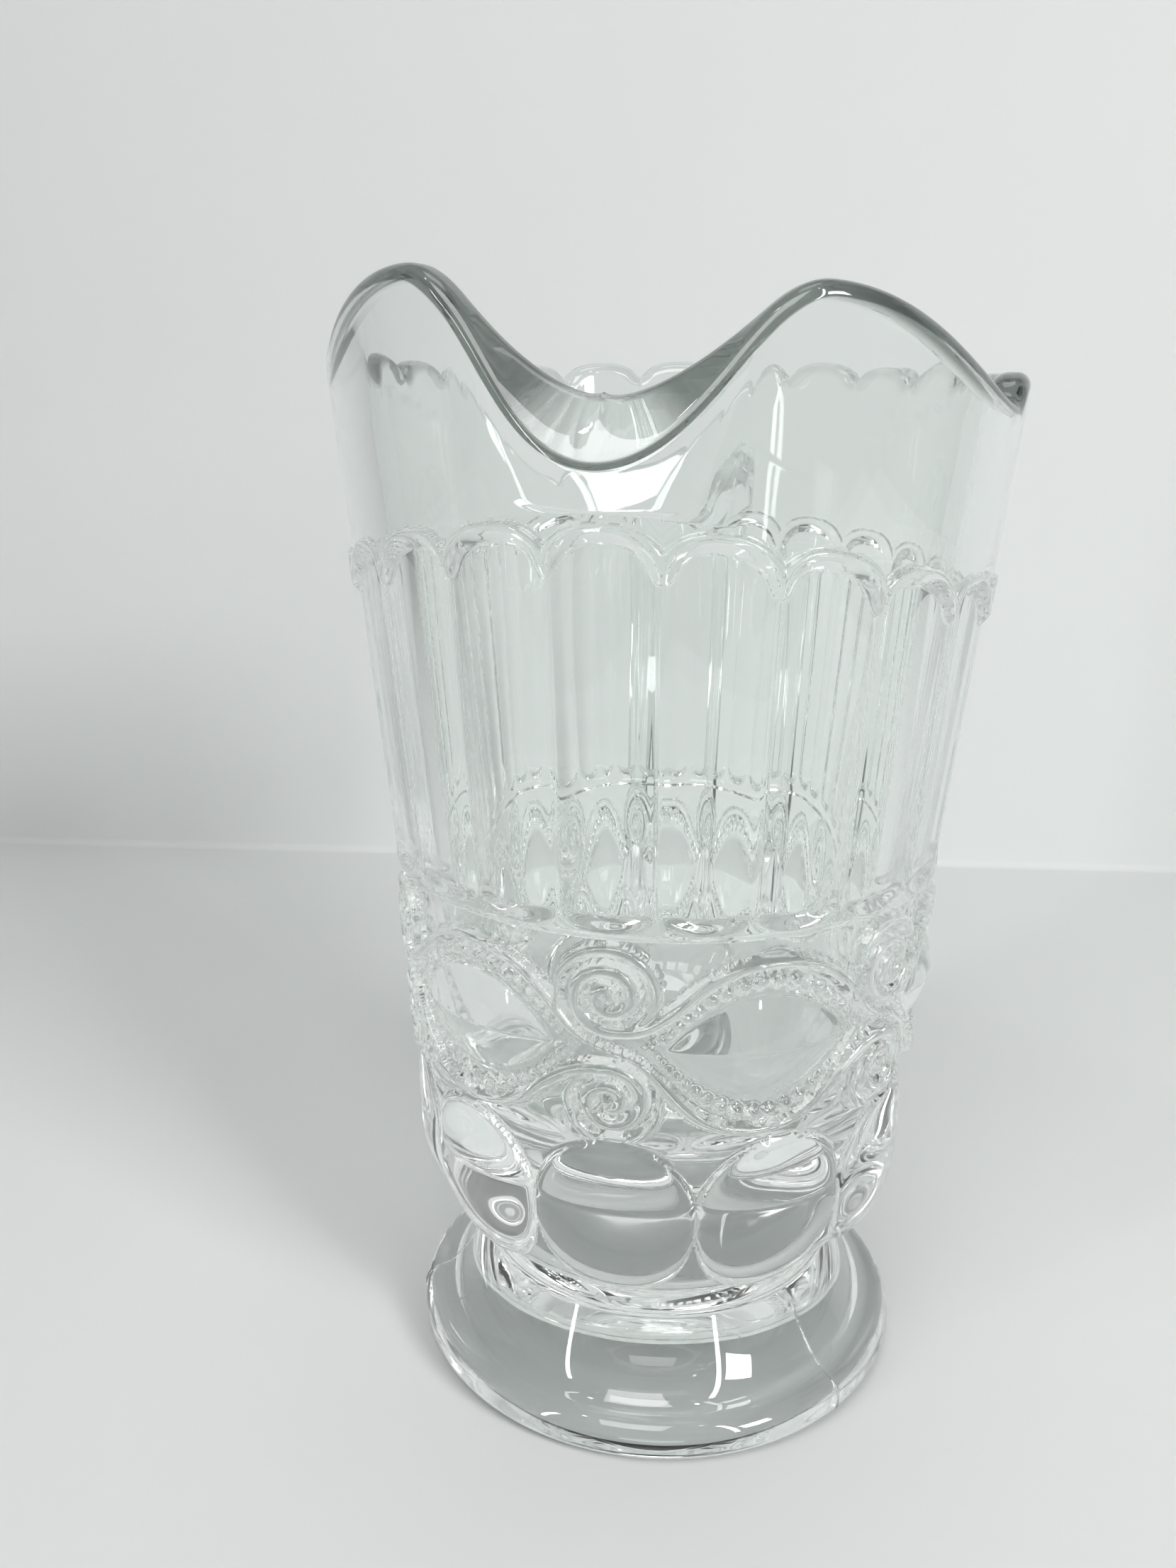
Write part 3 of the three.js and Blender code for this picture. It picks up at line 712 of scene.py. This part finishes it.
@dataclass
class BowlBase:
    """Bottom of the bowl: the neck, the ring of tall thumbprints and the floor of the cavity."""

    form: CreamerForm
    name: str = "bowl_base_glass"
    round_radius: float = 30.1
    round_height: float = 16.2
    prints: int = 10
    print_half_width: float = 9.45
    print_top: float = 42.3
    print_bottom: float = 20.4
    print_lift: float = 1.9
    print_power: float = 2.15
    rows: int = 78
    cavity_rows: int = 14

    def meridian(self) -> tuple[Array, Array, Array, Array]:
        """Plain profile: a quarter of an ellipse up from the neck, then a straight line.

        Returns:
            Radii, heights, and the two parts of the outward normal, each as a column.
        """
        turn = np.linspace(-math.pi / 2, 0, FINE_STEPS)
        form = self.form
        curve_r = form.neck_radius + (self.round_radius - form.neck_radius) * np.cos(turn)
        curve_z = form.foot_top + self.round_height * (1 + np.sin(turn))
        curve = np.vstack([beside(curve_r, curve_z), [form.base_top_radius, form.base_top]])
        length = travelled(curve)
        r, z = read_off(np.linspace(0, length[-1], self.rows), length, curve).T
        dr, dz = np.gradient(r), np.gradient(z)
        size = np.hypot(dr, dz)
        return r[:, None], z[:, None], (dz / size)[:, None], (-dr / size)[:, None]

    def print_height(self, z: Array) -> Array:
        """Height of the thumbprints: sqrt(1 - s^2) domes over ovals |x|^p + |y|^p = s^p."""
        across = wrapped(self.form.angles(), TAU / self.prints) * self.round_radius / self.print_half_width
        up = (2 * z - self.print_top - self.print_bottom) / (self.print_top - self.print_bottom)
        oval = np.abs(across) ** self.print_power + np.abs(up) ** self.print_power
        return self.print_lift * half_round(oval ** (1 / self.print_power), 1)

    def build(self) -> bpy.types.Mesh:
        """Makes the closed mesh from the pole under the neck to the middle of the cavity's floor.

        Returns:
            The mesh.
        """
        form = self.form
        r, z, out_r, out_z = self.meridian()
        angle = form.angles()
        lift = self.print_height(z)
        lift[[0, -1]] = 0
        surface = Surface()
        surface.add(form.point(r + lift * out_r, angle, z + lift * out_z))
        top = math.asin((form.floor + form.cavity_round - form.base_top) / form.cavity_round)
        depth = np.linspace(top, math.pi / 2, self.cavity_rows + 1)[:-1]
        cavity_z = form.floor + form.cavity_round * (1 - np.sin(depth))
        surface.add(form.rows(form.cavity(cavity_z), cavity_z), Side.JOINT)
        poles = (form.middle(form.foot_top), form.middle(form.floor))
        return surface.mesh(self.name, poles, (Side.JOINT, Side.AIR))


@dataclass
class BowlBand:
    """Middle of the bowl: the scroll band and the foot of the flutes over it."""

    form: CreamerForm
    name: str = "bowl_band_glass"
    rows: int = 80
    edge_runs: tuple[float, float] = (0.6, 0.4)
    ledge_round: float = 0.8
    ledge_degrees: tuple[float, ...] = (10, 40, 70, 90)
    flute_foot: float = 0.9
    flute_foot_rise: float = 1.3
    flute_run_out: float = 1.7
    flute_rows: int = 13
    plain_rise: tuple[float, float] = (3.3, 4.2)
    inner_heights: tuple[float, ...] = (60, 48, 46.8, 45.6, 44.1)

    def build(self) -> bpy.types.Mesh:
        """Makes the closed ring-shaped mesh between the two level joints.

        Returns:
            The mesh.
        """
        form = self.form
        angle = form.angles()
        bottom, top, ledge = form.base_top, form.band_top, self.ledge_round
        z = np.linspace(bottom, top, self.rows)[:, None]
        radii = [form.base_top_radius, form.band_middle_radius, form.band_top_radius]
        r = np.interp(z, [bottom, form.band_middle, top], radii)
        repeat = TAU / form.repeats
        across = wrapped(angle[: COLUMNS // form.repeats], repeat) * form.band_middle_radius
        places = np.broadcast_arrays(across, z - form.band_middle)
        relief = ScrollRelief(repeat * form.band_middle_radius, *places)
        low_run, high_run = self.edge_runs
        edge = smooth_step(bottom, bottom + low_run, z) * smooth_step(top, top - high_run, z)
        lift = np.tile(relief.height() * edge, form.repeats)
        surface = Surface()
        surface.add(form.point(r + lift, angle, z), Side.JOINT)
        turn = np.radians(self.ledge_degrees)
        surface.add(form.rows(form.cone(top) - ledge * (1 - np.sin(turn)), top + ledge * (1 - np.cos(turn))))
        last, plain = self.plain_rise
        rise = np.append(np.linspace(ledge, last, self.flute_rows + 1)[1:], [plain, form.wall_start - top])
        flute_z = top + rise[:, None]
        foot = top + self.flute_foot + self.flute_foot_rise * form.across_flute(angle) ** 2
        share = smooth_step(0, self.flute_run_out, flute_z - foot)
        surface.add(form.point(form.cone(flute_z) - share * form.scoop(angle), angle, flute_z))
        inner_z = np.array([form.wall_start, *self.inner_heights, bottom])
        surface.add(form.rows(form.cavity(inner_z), inner_z), Side.JOINT)
        return surface.mesh(self.name)


@dataclass
class BowlWall:
    """Top of the bowl: flutes, their arches, the plain band and the waved rim with its spout."""

    form: CreamerForm
    name: str = "bowl_wall_glass"
    arch_line: float = 98.6
    spout_rise: float = 6.4
    handle_rise: float = 4.0
    arch_rise: float = 4.0
    arch_half_width: float = 0.95
    arch_lift: float = 0.8
    arch_power: float = 2.4
    arch_margin: float = 1.6
    arch_rows: int = 34
    cusp_taper: float = 0.9
    cusp_narrowing: float = 0.35
    spout_drop: float = 15.8
    lobe_peak_degrees: float = 30.0
    lobe_flutes: float = 4.5
    scallop_drop_side: float = 6.3
    scallop_drop_handle: float = 3.9
    scallop_depth: float = 3.0
    edge_radius: float = 1.72
    lip_reach: float = 4.2
    lip_crest_rise: float = 5.1
    lip_crest_reach: float = 1.5
    lip_half_degrees: float = 22.0
    # Turns from the spout over which the rim's painted shade is left off the lip's middle.
    lip_clear_degrees: tuple[float, float] = (5.5, 11.5)
    lip_flare: float = 20.0
    # Painted shade on the rim: how much of it stays behind the handle, and the turns over which it fades
    # there.
    back_shade: float = 0.15
    back_turns: tuple[float, float] = (1.5, 2.1)
    rim_softening: int = 3
    # Where the rim's painted shade starts on the outer rounding.
    shade_start: float = 0.06
    crest_steps: int = 90
    flute_rows: int = 6
    plain_rows: int = 12
    edge_rows: int = 9
    inner_rows: int = 17

    def arch_shape(self, across: Array) -> Array:
        """Height of an arch over its foot as a share of its rise: sqrt(1 - across^p)."""
        return np.sqrt(np.clip(1 - np.abs(across) ** self.arch_power, 0, None))

    def cusp_line(self, angle: Array) -> Array:
        """Height where neighbouring arches meet: a low wave that stands highest at the spout."""
        rise = np.where(np.cos(angle) > 0, self.spout_rise, self.handle_rise)
        return self.form.leaned(angle, self.arch_line + rise * np.cos(angle) ** 2)

    def rim_line(self) -> Array:
        """Height of the rim's top over each column: lobes by the spout, then one scallop to a flute.

        Returns:
            One height for each column.
        """
        form = self.form
        angle = form.angles()
        turn = np.abs(wrapped(angle, TAU))
        peak = math.radians(self.lobe_peak_degrees)
        end = self.lobe_flutes * TAU / form.flutes
        lowest = form.rim_top - self.scallop_drop_side - self.scallop_depth
        spout = form.rim_top - self.spout_drop * (1 - ease(turn / peak))
        lobe = blend(form.rim_top, lowest, ease((turn - peak) / (end - peak)))
        drop = blend(self.scallop_drop_side, self.scallop_drop_handle, np.clip(-np.cos(angle), 0, None) ** 2)
        scallop = form.rim_top - drop - self.scallop_depth * (1 - self.arch_shape(form.across_flute(angle)))
        line = np.where(turn < peak, spout, np.where(turn < end, lobe, scallop))
        return form.leaned(angle, rounded(line, self.rim_softening))

    def arch_rings(self) -> Array:
        """Rings over the arches: the fluted wall turns into the plain one under a half-round edge.

        The distance to the arch's crest is taken in the plane of the wall, to the nearest of the
        short steps that the crest is cut into. The edge tapers where two arches meet.

        Returns:
            Points by ring and column.
        """
        form = self.form
        angle = form.angles()
        flute = TAU / form.flutes
        radius = form.cone(self.arch_line)
        u = wrapped(angle[: COLUMNS // form.flutes], flute) * radius
        half = flute * radius / 2
        up = np.linspace(-self.arch_margin, self.arch_rise + self.arch_margin, self.arch_rows)[:, None]
        crest = np.sin(np.linspace(-math.pi / 2, math.pi / 2, self.crest_steps))
        line = beside(half * crest, self.arch_rise * self.arch_shape(crest))
        away = near_line(u, up, line, 2 * half)[0].min(-1)
        inside = up < self.arch_rise * self.arch_shape(u / half)
        above = smooth_step(-self.arch_half_width, self.arch_half_width, np.where(inside, -away, away))
        full = smooth_step(-self.cusp_taper, self.cusp_taper, up)
        width = self.arch_half_width * blend(self.cusp_narrowing, 1, full)
        ridge = self.arch_lift * full * half_round(away, width)
        above, ridge = (np.tile(part, form.flutes) for part in (above, ridge))
        z = self.cusp_line(angle) + up
        return form.point(blend(form.fluted(angle, z), form.cone(z), above) + ridge, angle, z)

    def lip_share(self, turn: Array) -> Array:
        """1 on the spout's middle line, falling to 0 past the lip by half a cosine wave."""
        return 1 - ease(turn / math.radians(self.lip_half_degrees))

    def lip_opening(self, turn: Array) -> Array:
        """1 where the lip lies so broad that the rim's painted shade is left off its middle, 0 on the narrow
        rim.
        """
        near, far = np.radians(self.lip_clear_degrees)
        return smooth_step(far, near, turn)

    def rim_shade_strength(self, turn: Array) -> Array:
        """Strength of the rim's painted shade: all of it by the spout, little behind the handle."""
        return blend(1, self.back_shade, smooth_step(*self.back_turns, turn))

    def build(self) -> bpy.types.Mesh:
        """Makes the closed ring-shaped mesh, with the rim's round edge square to the rim's line.

        The rings run up the flutes and arches, up the plain band, over the rim and down inside. The
        rim's edge is an arc outside, a straight slope over the lip's crest and an arc inside.

        Returns:
            The mesh.
        """
        form = self.form
        angle = form.angles()
        surface = Surface()
        start_z = np.full((1, COLUMNS), form.wall_start)
        surface.add(form.point(form.fluted(angle, start_z), angle, start_z), Side.JOINT)
        arches = self.arch_rings()
        flute_z = blend(start_z, arches[0, :, 2], np.linspace(0, 1, self.flute_rows + 2)[1:-1, None])
        surface.add(form.point(form.fluted(angle, flute_z), angle, flute_z))
        surface.add(arches)

        rim = self.rim_line()
        radius = form.cone(rim)
        slope = (np.roll(rim, -1) - np.roll(rim, 1)) / (2 * TAU / COLUMNS * radius)
        tilt = np.hypot(slope, 1)
        side_u, side_z = -slope / tilt, 1 / tilt
        from_spout = np.abs(wrapped(angle, TAU))
        share = self.lip_share(from_spout)
        edge = self.edge_radius

        def placed(out: Array, over: Array) -> Array:
            """Point at a distance out from the wall and over the line of edge centres."""
            z = rim + side_z * (over - edge)
            return form.point(form.cone(z) + out, angle + side_u * (over - edge) / radius, z)

        def leaning(reach: float, below: Array) -> Array:
            """How far the lip leans out at a distance below its edge."""
            return reach * share * np.clip(1 - below / self.lip_flare, 0, 1) ** 2

        outer_out = self.lip_reach * share - edge
        inner_out = self.lip_crest_reach * share + edge - form.wall
        inner_over = self.lip_crest_rise * share
        centre_z = rim - side_z * edge
        part = np.linspace(0, 1, self.plain_rows + 2)[1:-1, None]
        z = blend(arches[-1, :, 2], centre_z, part)
        turned = blend(angle, angle - side_u * edge / radius, part**2)
        surface.add(form.point(form.cone(z) + leaning(self.lip_reach, centre_z - z), turned, z))

        facing = np.arctan2(outer_out - inner_out, inner_over)
        # Painted shade of the rim: its strength round the rim, and where it is left off the middle of the
        # broad lip.
        thick, open_lip = self.rim_shade_strength(from_spout), self.lip_opening(from_spout)
        part = np.insert(np.linspace(0, 1, self.edge_rows), 1, self.shade_start)[:, None]
        turn = part * facing
        # Painted shade over the outer rounding: full on the narrow rim, fading out towards the top where the
        # lip is broad.
        painted_shade = thick * blend(1, smooth_step(1, 0.5, part), open_lip) * (part > 0)
        surface.add(placed(outer_out + edge * np.cos(turn), edge * np.sin(turn)), depth=painted_shade)
        part = np.linspace(0, 1, self.edge_rows)[:, None]
        turn = blend(facing, math.pi, part)
        # Painted shade over the inner rounding: on the narrow rim it fades out down the inside; on the broad
        # lip it lies over the middle of the rounding and leaves its ends clear.
        crest = smooth_step(0, 0.3, part) * smooth_step(1, 0.9, part)
        painted_shade = thick * blend(smooth_step(1, 0.6, part), crest, open_lip)
        surface.add(placed(inner_out + edge * np.cos(turn), inner_over + edge * np.sin(turn)), depth=painted_shade)

        part = np.linspace(0, 1, self.inner_rows + 1)[1:, None]
        inner_z = centre_z + side_z * inner_over
        z = blend(inner_z, form.wall_start, part)
        turned = blend(angle + side_u * (inner_over - edge) / radius, angle, 1 - (1 - part) ** 2)
        surface.add(form.point(form.cavity(z) + leaning(self.lip_crest_reach, inner_z - z), turned, z))
        return surface.mesh(self.name)


@dataclass
class Foot:
    """Bell foot: collar, concave flare, thick rounded rim and hollowed underside."""

    form: CreamerForm
    name: str = "foot_glass"
    radius: float = 32.0
    rim_thickness: float = 5.6
    hollow_radius: float = 25.5
    hollow_depth: float = 7.5
    collar: float = 3.4
    columns: int = 420
    hollow_steps: int = 18
    rim_rows: int = 22
    flare_steps: int = 24
    collar_steps: int = 8
    seams_degrees: tuple[float, ...] = (55.5, -75.5, 170.0)
    seam_lift: float = 0.18
    seam_width: float = 0.16
    seam_columns: int = 13
    seam_bottom: tuple[float, float] = (0.3, 1.5)
    seam_top: tuple[float, float] = (5, 9)

    def profile(self) -> Array:
        """Radii and heights from the middle of the underside round to the top of the neck.

        Returns:
            One row for each ring.
        """
        form = self.form
        hollow = bezier(
            (0, self.hollow_depth),
            (self.hollow_radius * 0.6, self.hollow_depth),
            (self.hollow_radius * 0.9, self.hollow_depth * 0.5),
            (self.hollow_radius, 0),
            steps=self.hollow_steps,
        )
        half = self.rim_thickness / 2
        turn = np.linspace(-0.5, 0.42, self.rim_rows) * math.pi
        rim = beside(self.radius - half + half * np.cos(turn), half + half * np.sin(turn))
        collar = (form.neck_radius * 1.04, form.foot_top - self.collar)
        flare = bezier(
            rim[-1],
            (self.radius * 0.86, self.rim_thickness * 1.1),
            (form.neck_radius * 1.14, collar[1] * 0.72),
            collar,
            steps=self.flare_steps,
        )
        ring = bezier(
            collar,
            (collar[0] + 0.5, collar[1] + 0.6),
            (form.neck_radius + 0.9, form.foot_top - 0.4),
            (form.neck_radius, form.foot_top),
            steps=self.collar_steps,
        )
        return np.vstack([hollow[1:], rim, flare[1:], ring[1:]])

    def build(self) -> bpy.types.Mesh:
        """Turns the profile round the axis, with a fine raised seam at each joint of the mould.

        Returns:
            The mesh.
        """
        form = self.form
        seams = np.radians(self.seams_degrees)
        near = (seams[:, None] + np.radians(np.linspace(-1, 1, self.seam_columns))).ravel()
        even = np.arange(self.columns) * TAU / self.columns
        angle = np.unique(np.append(even, near % TAU).round(6))
        radius, height = self.profile().T[..., None]
        away = np.abs(wrapped(angle[:, None] - seams, TAU)).min(-1)
        ridge = self.seam_lift * np.exp(-((away * self.radius / self.seam_width) ** 2))
        seen = smooth_step(*self.seam_bottom, height) * smooth_step(*self.seam_top, form.foot_top - height)
        seen[: self.hollow_steps + 1] = 0
        surface = Surface()
        surface.add(form.point(radius + seen * ridge, angle, height))
        poles = (form.middle(self.hollow_depth), form.middle(form.foot_top))
        return surface.mesh(self.name, poles, (Side.AIR, Side.JOINT))


@dataclass
class Handle:
    """Six-sided loop whose two roots run on into the bowl's glass."""

    form: CreamerForm
    name: str = "handle_glass"
    width: float = 9.6
    depth: float = 9.0
    waist: float = 0.84
    reach: float = 26.6
    top: float = 111.3
    foot: float = 50.7
    flare: float = 0.35
    flare_share: float = 0.16
    root_share: float = 0.08
    sunk_share: float = 0.015
    corner_power: float = 34.0
    corners: int = 72
    loop_rows: int = 140
    root_rows: int = 16

    def line(self) -> tuple[Array, Array]:
        """Centre line of the loop and its direction, at even steps of length, as Y and Z.

        Returns:
            Points, and unit tangents, for shares of the length from 0 at the top root to 1.
        """
        wall = self.form.wall
        top_y, foot_y = self.form.cone(self.top), self.form.cone(self.foot)
        span = self.top - self.foot
        knots = [
            (top_y - wall, self.top - span * 0.03),
            (top_y + self.reach * 0.5, self.top + span * 0.14),
            (top_y + self.reach * 1.03, self.top + span * 0.02),
            (top_y + self.reach, self.top - span * 0.33),
            (top_y + self.reach * 0.97, self.top - span * 0.7),
            (foot_y + self.reach * 0.6, self.foot + span * 0.06),
            (foot_y - wall, self.foot),
        ]
        curve = np.vstack([bezier(*part, steps=FINE_STEPS - 1) for part in (knots[:4], knots[3:])])
        length = travelled(curve)
        points = read_off(np.linspace(0, length[-1], FINE_STEPS + 1), length, curve)
        tangents = np.gradient(points, axis=0)
        return points, tangents / np.hypot(*tangents.T)[:, None]

    def section(self) -> Array:
        """Six-sided outline, 1 to its corners, rounded as the p-norm of the distances to its sides.

        Returns:
            Its points as across and up.
        """
        turn = np.arange(self.corners) * TAU / self.corners
        sides = np.arange(6) * TAU / 6
        reach = np.clip(np.cos(turn[:, None] - sides), 0, None) ** self.corner_power
        radius = math.cos(TAU / 12) * reach.sum(-1) ** (-1 / self.corner_power)
        return beside(radius * np.cos(turn), radius * np.sin(turn))

    def rings(self, low: float, high: float, steps: int) -> Array:
        """Rings of the loop between two shares of its length, upright where they leave the bowl.

        Args:
            low: Share at which they start.
            high: Share at which they end.
            steps: Count of the rings.

        Returns:
            Points by ring and corner.
        """
        share = np.linspace(low, high, steps)
        places = np.linspace(0, 1, FINE_STEPS + 1)
        centre, along = (read_off(share, places, known) for known in self.line())
        ends = np.minimum(share, 1 - share)
        upright = np.sign(share - 0.5)[:, None] * np.array([0, 1])
        inward = beside(along[:, 1], -along[:, 0])
        inward = blend(upright, inward, smooth_step(0.01, self.root_share, ends)[:, None])
        size = blend(1, self.waist, np.sin(math.pi * share))
        size = size + self.flare * (1 - smooth_step(0, self.flare_share, ends))
        outline = self.section()
        x = size[:, None] * self.width / math.sqrt(3) * outline[:, 0]
        off = size[:, None] * self.depth / 2 * outline[:, 1]
        y = self.form.axis_y + centre[:, 0, None] + inward[:, 0, None] * off
        z = centre[:, 1, None] + inward[:, 1, None] * off
        return beside(x, y, z)

    def pieces(self) -> list[bpy.types.Mesh]:
        """Cuts the loop in three closed meshes, whose hidden faces meet.

        Returns:
            The root to be fused with the wall, the loop, and the root to be fused with the band.
        """
        cuts = [self.sunk_share, self.root_share, 1 - self.root_share, 1 - self.sunk_share]
        names = ("top_root", self.name, "foot_root")
        counts = (self.root_rows, self.loop_rows, self.root_rows)
        sides = (Side.AIR, Side.JOINT, Side.JOINT, Side.AIR)
        made = []
        for k, (name, count) in enumerate(zip(names, counts)):
            rings = self.rings(cuts[k], cuts[k + 1], count)
            surface = Surface()
            surface.add(rings)
            made.append(surface.mesh(name, (rings[0].mean(0), rings[-1].mean(0)), sides[k : k + 2]))
        return made


@dataclass
class Creamer:
    """The whole vessel, piece by piece, in its finishes."""

    form: CreamerForm
    joint: bpy.types.Material = field(init=False)

    def __post_init__(self) -> None:
        """Makes the finish that the hidden faces of all the pieces share."""
        self.joint = HiddenJoint().build()

    def dress(self, node: str, parts: Sequence[Sequence[bpy.types.Mesh]]) -> None:
        """Shows the pieces that stand for one node.

        Args:
            node: The node's name, which also ends the slot's and the material's name.
            parts: For each piece the meshes that it is fused from, the largest first.
        """
        slot = f"clear_glass_{node}"
        glass = ClearGlass(slot).build()
        for meshes in parts:
            for mesh in meshes:
                mesh.materials.append(glass)
                mesh.materials.append(self.joint)
            mesh = meshes[0] if len(meshes) == 1 else joined(*meshes)
            mesh.set_sharp_from_angle(angle=math.radians(SHARP_DEGREES))
            piece = shown(mesh.name, mesh)
            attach(piece, "root")
            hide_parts(node)
            LOG.info("%s: %d faces", piece.name, len(mesh.polygons))

    def build(self) -> None:
        """Builds the bowl's three rings, the foot and the handle."""
        top_root, loop, foot_root = Handle(self.form).pieces()
        base, band, wall, foot = (kind(self.form).build() for kind in (BowlBase, BowlBand, BowlWall, Foot))
        self.dress("bowl", [[base], [band, foot_root], [wall, top_root]])
        self.dress("foot", [[foot]])
        self.dress("handle", [[loop]])


@dataclass
class PhotoCamera:
    """Camera of the photograph, placed about the creamer's axis.

    Args:
        axis_y: Where the axis stands along Y, in millimetres.
        spout_turn: How far the spout is turned to the left of the view, in degrees.
        distance: Distance from the axis, level.
        height: Height over the floor.
        pitch: Degrees that it looks down.
        yaw: Degrees that it looks to the right of the axis.
        roll: Degrees that it leans.
        lens: Focal length over the sensor's height.
        sensor_height: Height of the sensor in millimetres.
        nearest: Distance in metres from which it sees.
    """

    axis_y: float
    spout_turn: float = VIEW_TURN
    distance: float = 157.22
    height: float = 117.28
    pitch: float = 15.047
    yaw: float = -3.568
    roll: float = 0.310
    lens: float = 29.43
    sensor_height: float = 36.0
    nearest: float = 0.005

    def build(self) -> None:
        """Makes the camera and sets it as the scene's."""
        turns = ((self.spout_turn, "Z"), (-self.yaw, "Z"), (90 - self.pitch, "X"), (self.roll, "Z"))
        round_axis, aside, down, leaned = (Matrix.Rotation(math.radians(x), 4, axis) for x, axis in turns)
        place = round_axis @ Vector((0, -self.distance, self.height))
        place.y += self.axis_y
        data = bpy.data.cameras.new("camera")
        data.sensor_fit = "VERTICAL"
        data.sensor_height = self.sensor_height
        data.lens = self.lens
        data.clip_start = self.nearest
        camera = shown("camera", data)
        camera.matrix_world = Matrix.Translation(place * METRES) @ round_axis @ aside @ down @ leaned
        bpy.context.scene.camera = camera


@dataclass
class Studio:
    """Pale paper sweep, soft lamps and a dim room round them, in millimetres from the axis.

    Args:
        axis_y: Where the creamer's axis stands along Y, in millimetres.
        view_turn: Direction of the camera round the axis, in degrees from the spout.
        flat_behind: Distance from the axis to where the paper starts to rise.
        bend: Radius of the paper's bend.
        half_width: Distance that the paper reaches to either side.
        front: Distance that it reaches to the camera's side of the axis.
        wall_height: Height of the paper's wall.
        floor_gap: How far the paper lies under the foot.
        dim: Light of the room, and the colour of its ceiling.
        walls: Colour of its walls where they are seen.
        walls_end: Steepness of a line of sight, as its Z, at which the walls start to darken.
        ceiling_start: The same for where the dark ceiling starts.
    """

    axis_y: float
    view_turn: float = VIEW_TURN
    flat_behind: float = 195.0
    bend: float = 2.0
    half_width: float = 600.0
    front: float = 260.0
    wall_height: float = 450.0
    floor_gap: float = 0.05
    dim: Colour = (0.06, 0.063, 0.061, 1)
    walls: Colour = (0.28, 0.29, 0.287, 1)
    walls_end: float = 0.3
    ceiling_start: float = 0.55

    def turned(self, x: float, y: float, z: float) -> Vector:
        """Point given as right, away and up from the axis, as the camera sees them, in metres."""
        place = Matrix.Rotation(math.radians(self.view_turn), 4, "Z") @ Vector((x, y, z))
        place.y += self.axis_y
        return place * METRES

    def sweep(self) -> None:
        """Paper as one profile, a line, a quarter circle and a line up, drawn out sideways."""
        turn = np.linspace(0, math.pi / 2, 40)
        behind = self.flat_behind + self.bend
        away = np.concatenate([[-self.front], self.flat_behind + self.bend * np.sin(turn), [behind]])
        up = np.concatenate([[0], self.bend * (1 - np.cos(turn)), [self.wall_height]]) - self.floor_gap
        sideways = np.linspace(-self.half_width, self.half_width, 3)
        grid = beside(sideways, away[:, None], up[:, None])
        vertices = [self.turned(*place)[:] for place in grid.reshape(-1, 3).tolist()]
        index = np.arange(len(vertices)).reshape(grid.shape[:2])
        quads = beside(index[:-1, :-1], index[:-1, 1:], index[1:, 1:], index[1:, :-1]).reshape(-1, 4)
        mesh = bpy.data.meshes.new("paper_sweep")
        mesh.from_pydata(vertices, [], quads.tolist())
        mesh.polygons.foreach_set("use_smooth", np.ones(len(quads), bool))
        mesh.materials.append(PalePaper().build())
        paper = shown("paper_sweep", mesh)

    def lamp(self, name: str, place: Place, aim: Place, size: tuple[float, float], power: float) -> None:
        """Adds one rectangular lamp.

        Args:
            name: The lamp's name.
            place: Right, away and up from the axis, in millimetres.
            aim: The point it faces, given the same way.
            size: Width and height in millimetres.
            power: Watts.
        """
        data = bpy.data.lights.new(name, "AREA")
        data.shape = "RECTANGLE"
        data.size, data.size_y = (side * METRES for side in size)
        data.energy = power
        lamp = shown(name, data)
        lamp.location = self.turned(*place)
        lamp.rotation_mode = "QUATERNION"
        lamp.rotation_quaternion = (self.turned(*aim) - lamp.location).to_track_quat("-Z", "Y")

    def room(self) -> None:
        """Dim grey light, shown to the eye and through glass as grey walls under a dark ceiling."""
        world = bpy.data.worlds.new("room")
        world.use_nodes = True
        bpy.context.scene.world = world
        sheet = Sheet(world.node_tree, "ShaderNodeOutputWorld")
        direction = sheet.node("ShaderNodeTexCoord", output="Generated")
        up = sheet.node("ShaderNodeSeparateXYZ", inputs={0: direction}, output="Z")
        stops = [(self.walls_end, self.walls), (self.ceiling_start, self.dim)]
        walls = sheet.node("ShaderNodeValToRGB", {"stops": stops}, {"Fac": up})
        rays = ("Is Camera Ray", "Is Glossy Ray", "Is Transmission Ray")
        seen = sum(sheet.node("ShaderNodeLightPath", output=ray) for ray in rays)
        inputs = {"Color": sheet.mix(seen, self.dim, walls), "Strength": 1.0}
        sheet.finish(sheet.node("ShaderNodeBackground", inputs=inputs))

    def build(self) -> None:
        """Makes the paper, the lamps and the room."""
        self.sweep()
        self.room()
        middle = (0, 0, 60)
        spot = (28, 28)
        self.lamp("overhead", (0, 0, 1100), (0, 60, 0), (380, 300), 0.9)
        self.lamp("key", (600, -560, 450), middle, (200, 200), 3.45)
        self.lamp("front", (-60, -330, 520), (-20, -60, 0), (240, 240), 1.1)
        self.lamp("spot_right", (260, -420, 900), middle, spot, 0.14)
        self.lamp("spot_left", (-330, -300, 900), middle, spot, 0.14)
        self.lamp("window_right", (365, -505, 408), middle, (30, 540), 1.1)
        self.lamp("window_left", (-446, -430, 300), middle, (25, 380), 0.6)


def main() -> None:
    """Builds the scene in order: camera, creamer, studio."""
    logging.basicConfig(level=logging.INFO, format="%(name)s %(message)s")
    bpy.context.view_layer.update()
    low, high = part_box("foot")
    axis_y = (low.y + high.y) / 2 / METRES
    PhotoCamera(axis_y).build()
    Creamer(CreamerForm(axis_y)).build()
    Studio(axis_y).build()
    scene = bpy.context.scene
    scene.view_settings.view_transform = "Standard"
    for kind in ("max", "transmission", "glossy"):
        setattr(scene.cycles, f"{kind}_bounces", GLASS_BOUNCES)
    scene.cycles.transparent_max_bounces = GLASS_BOUNCES


if __name__ == "__main__":
    main()
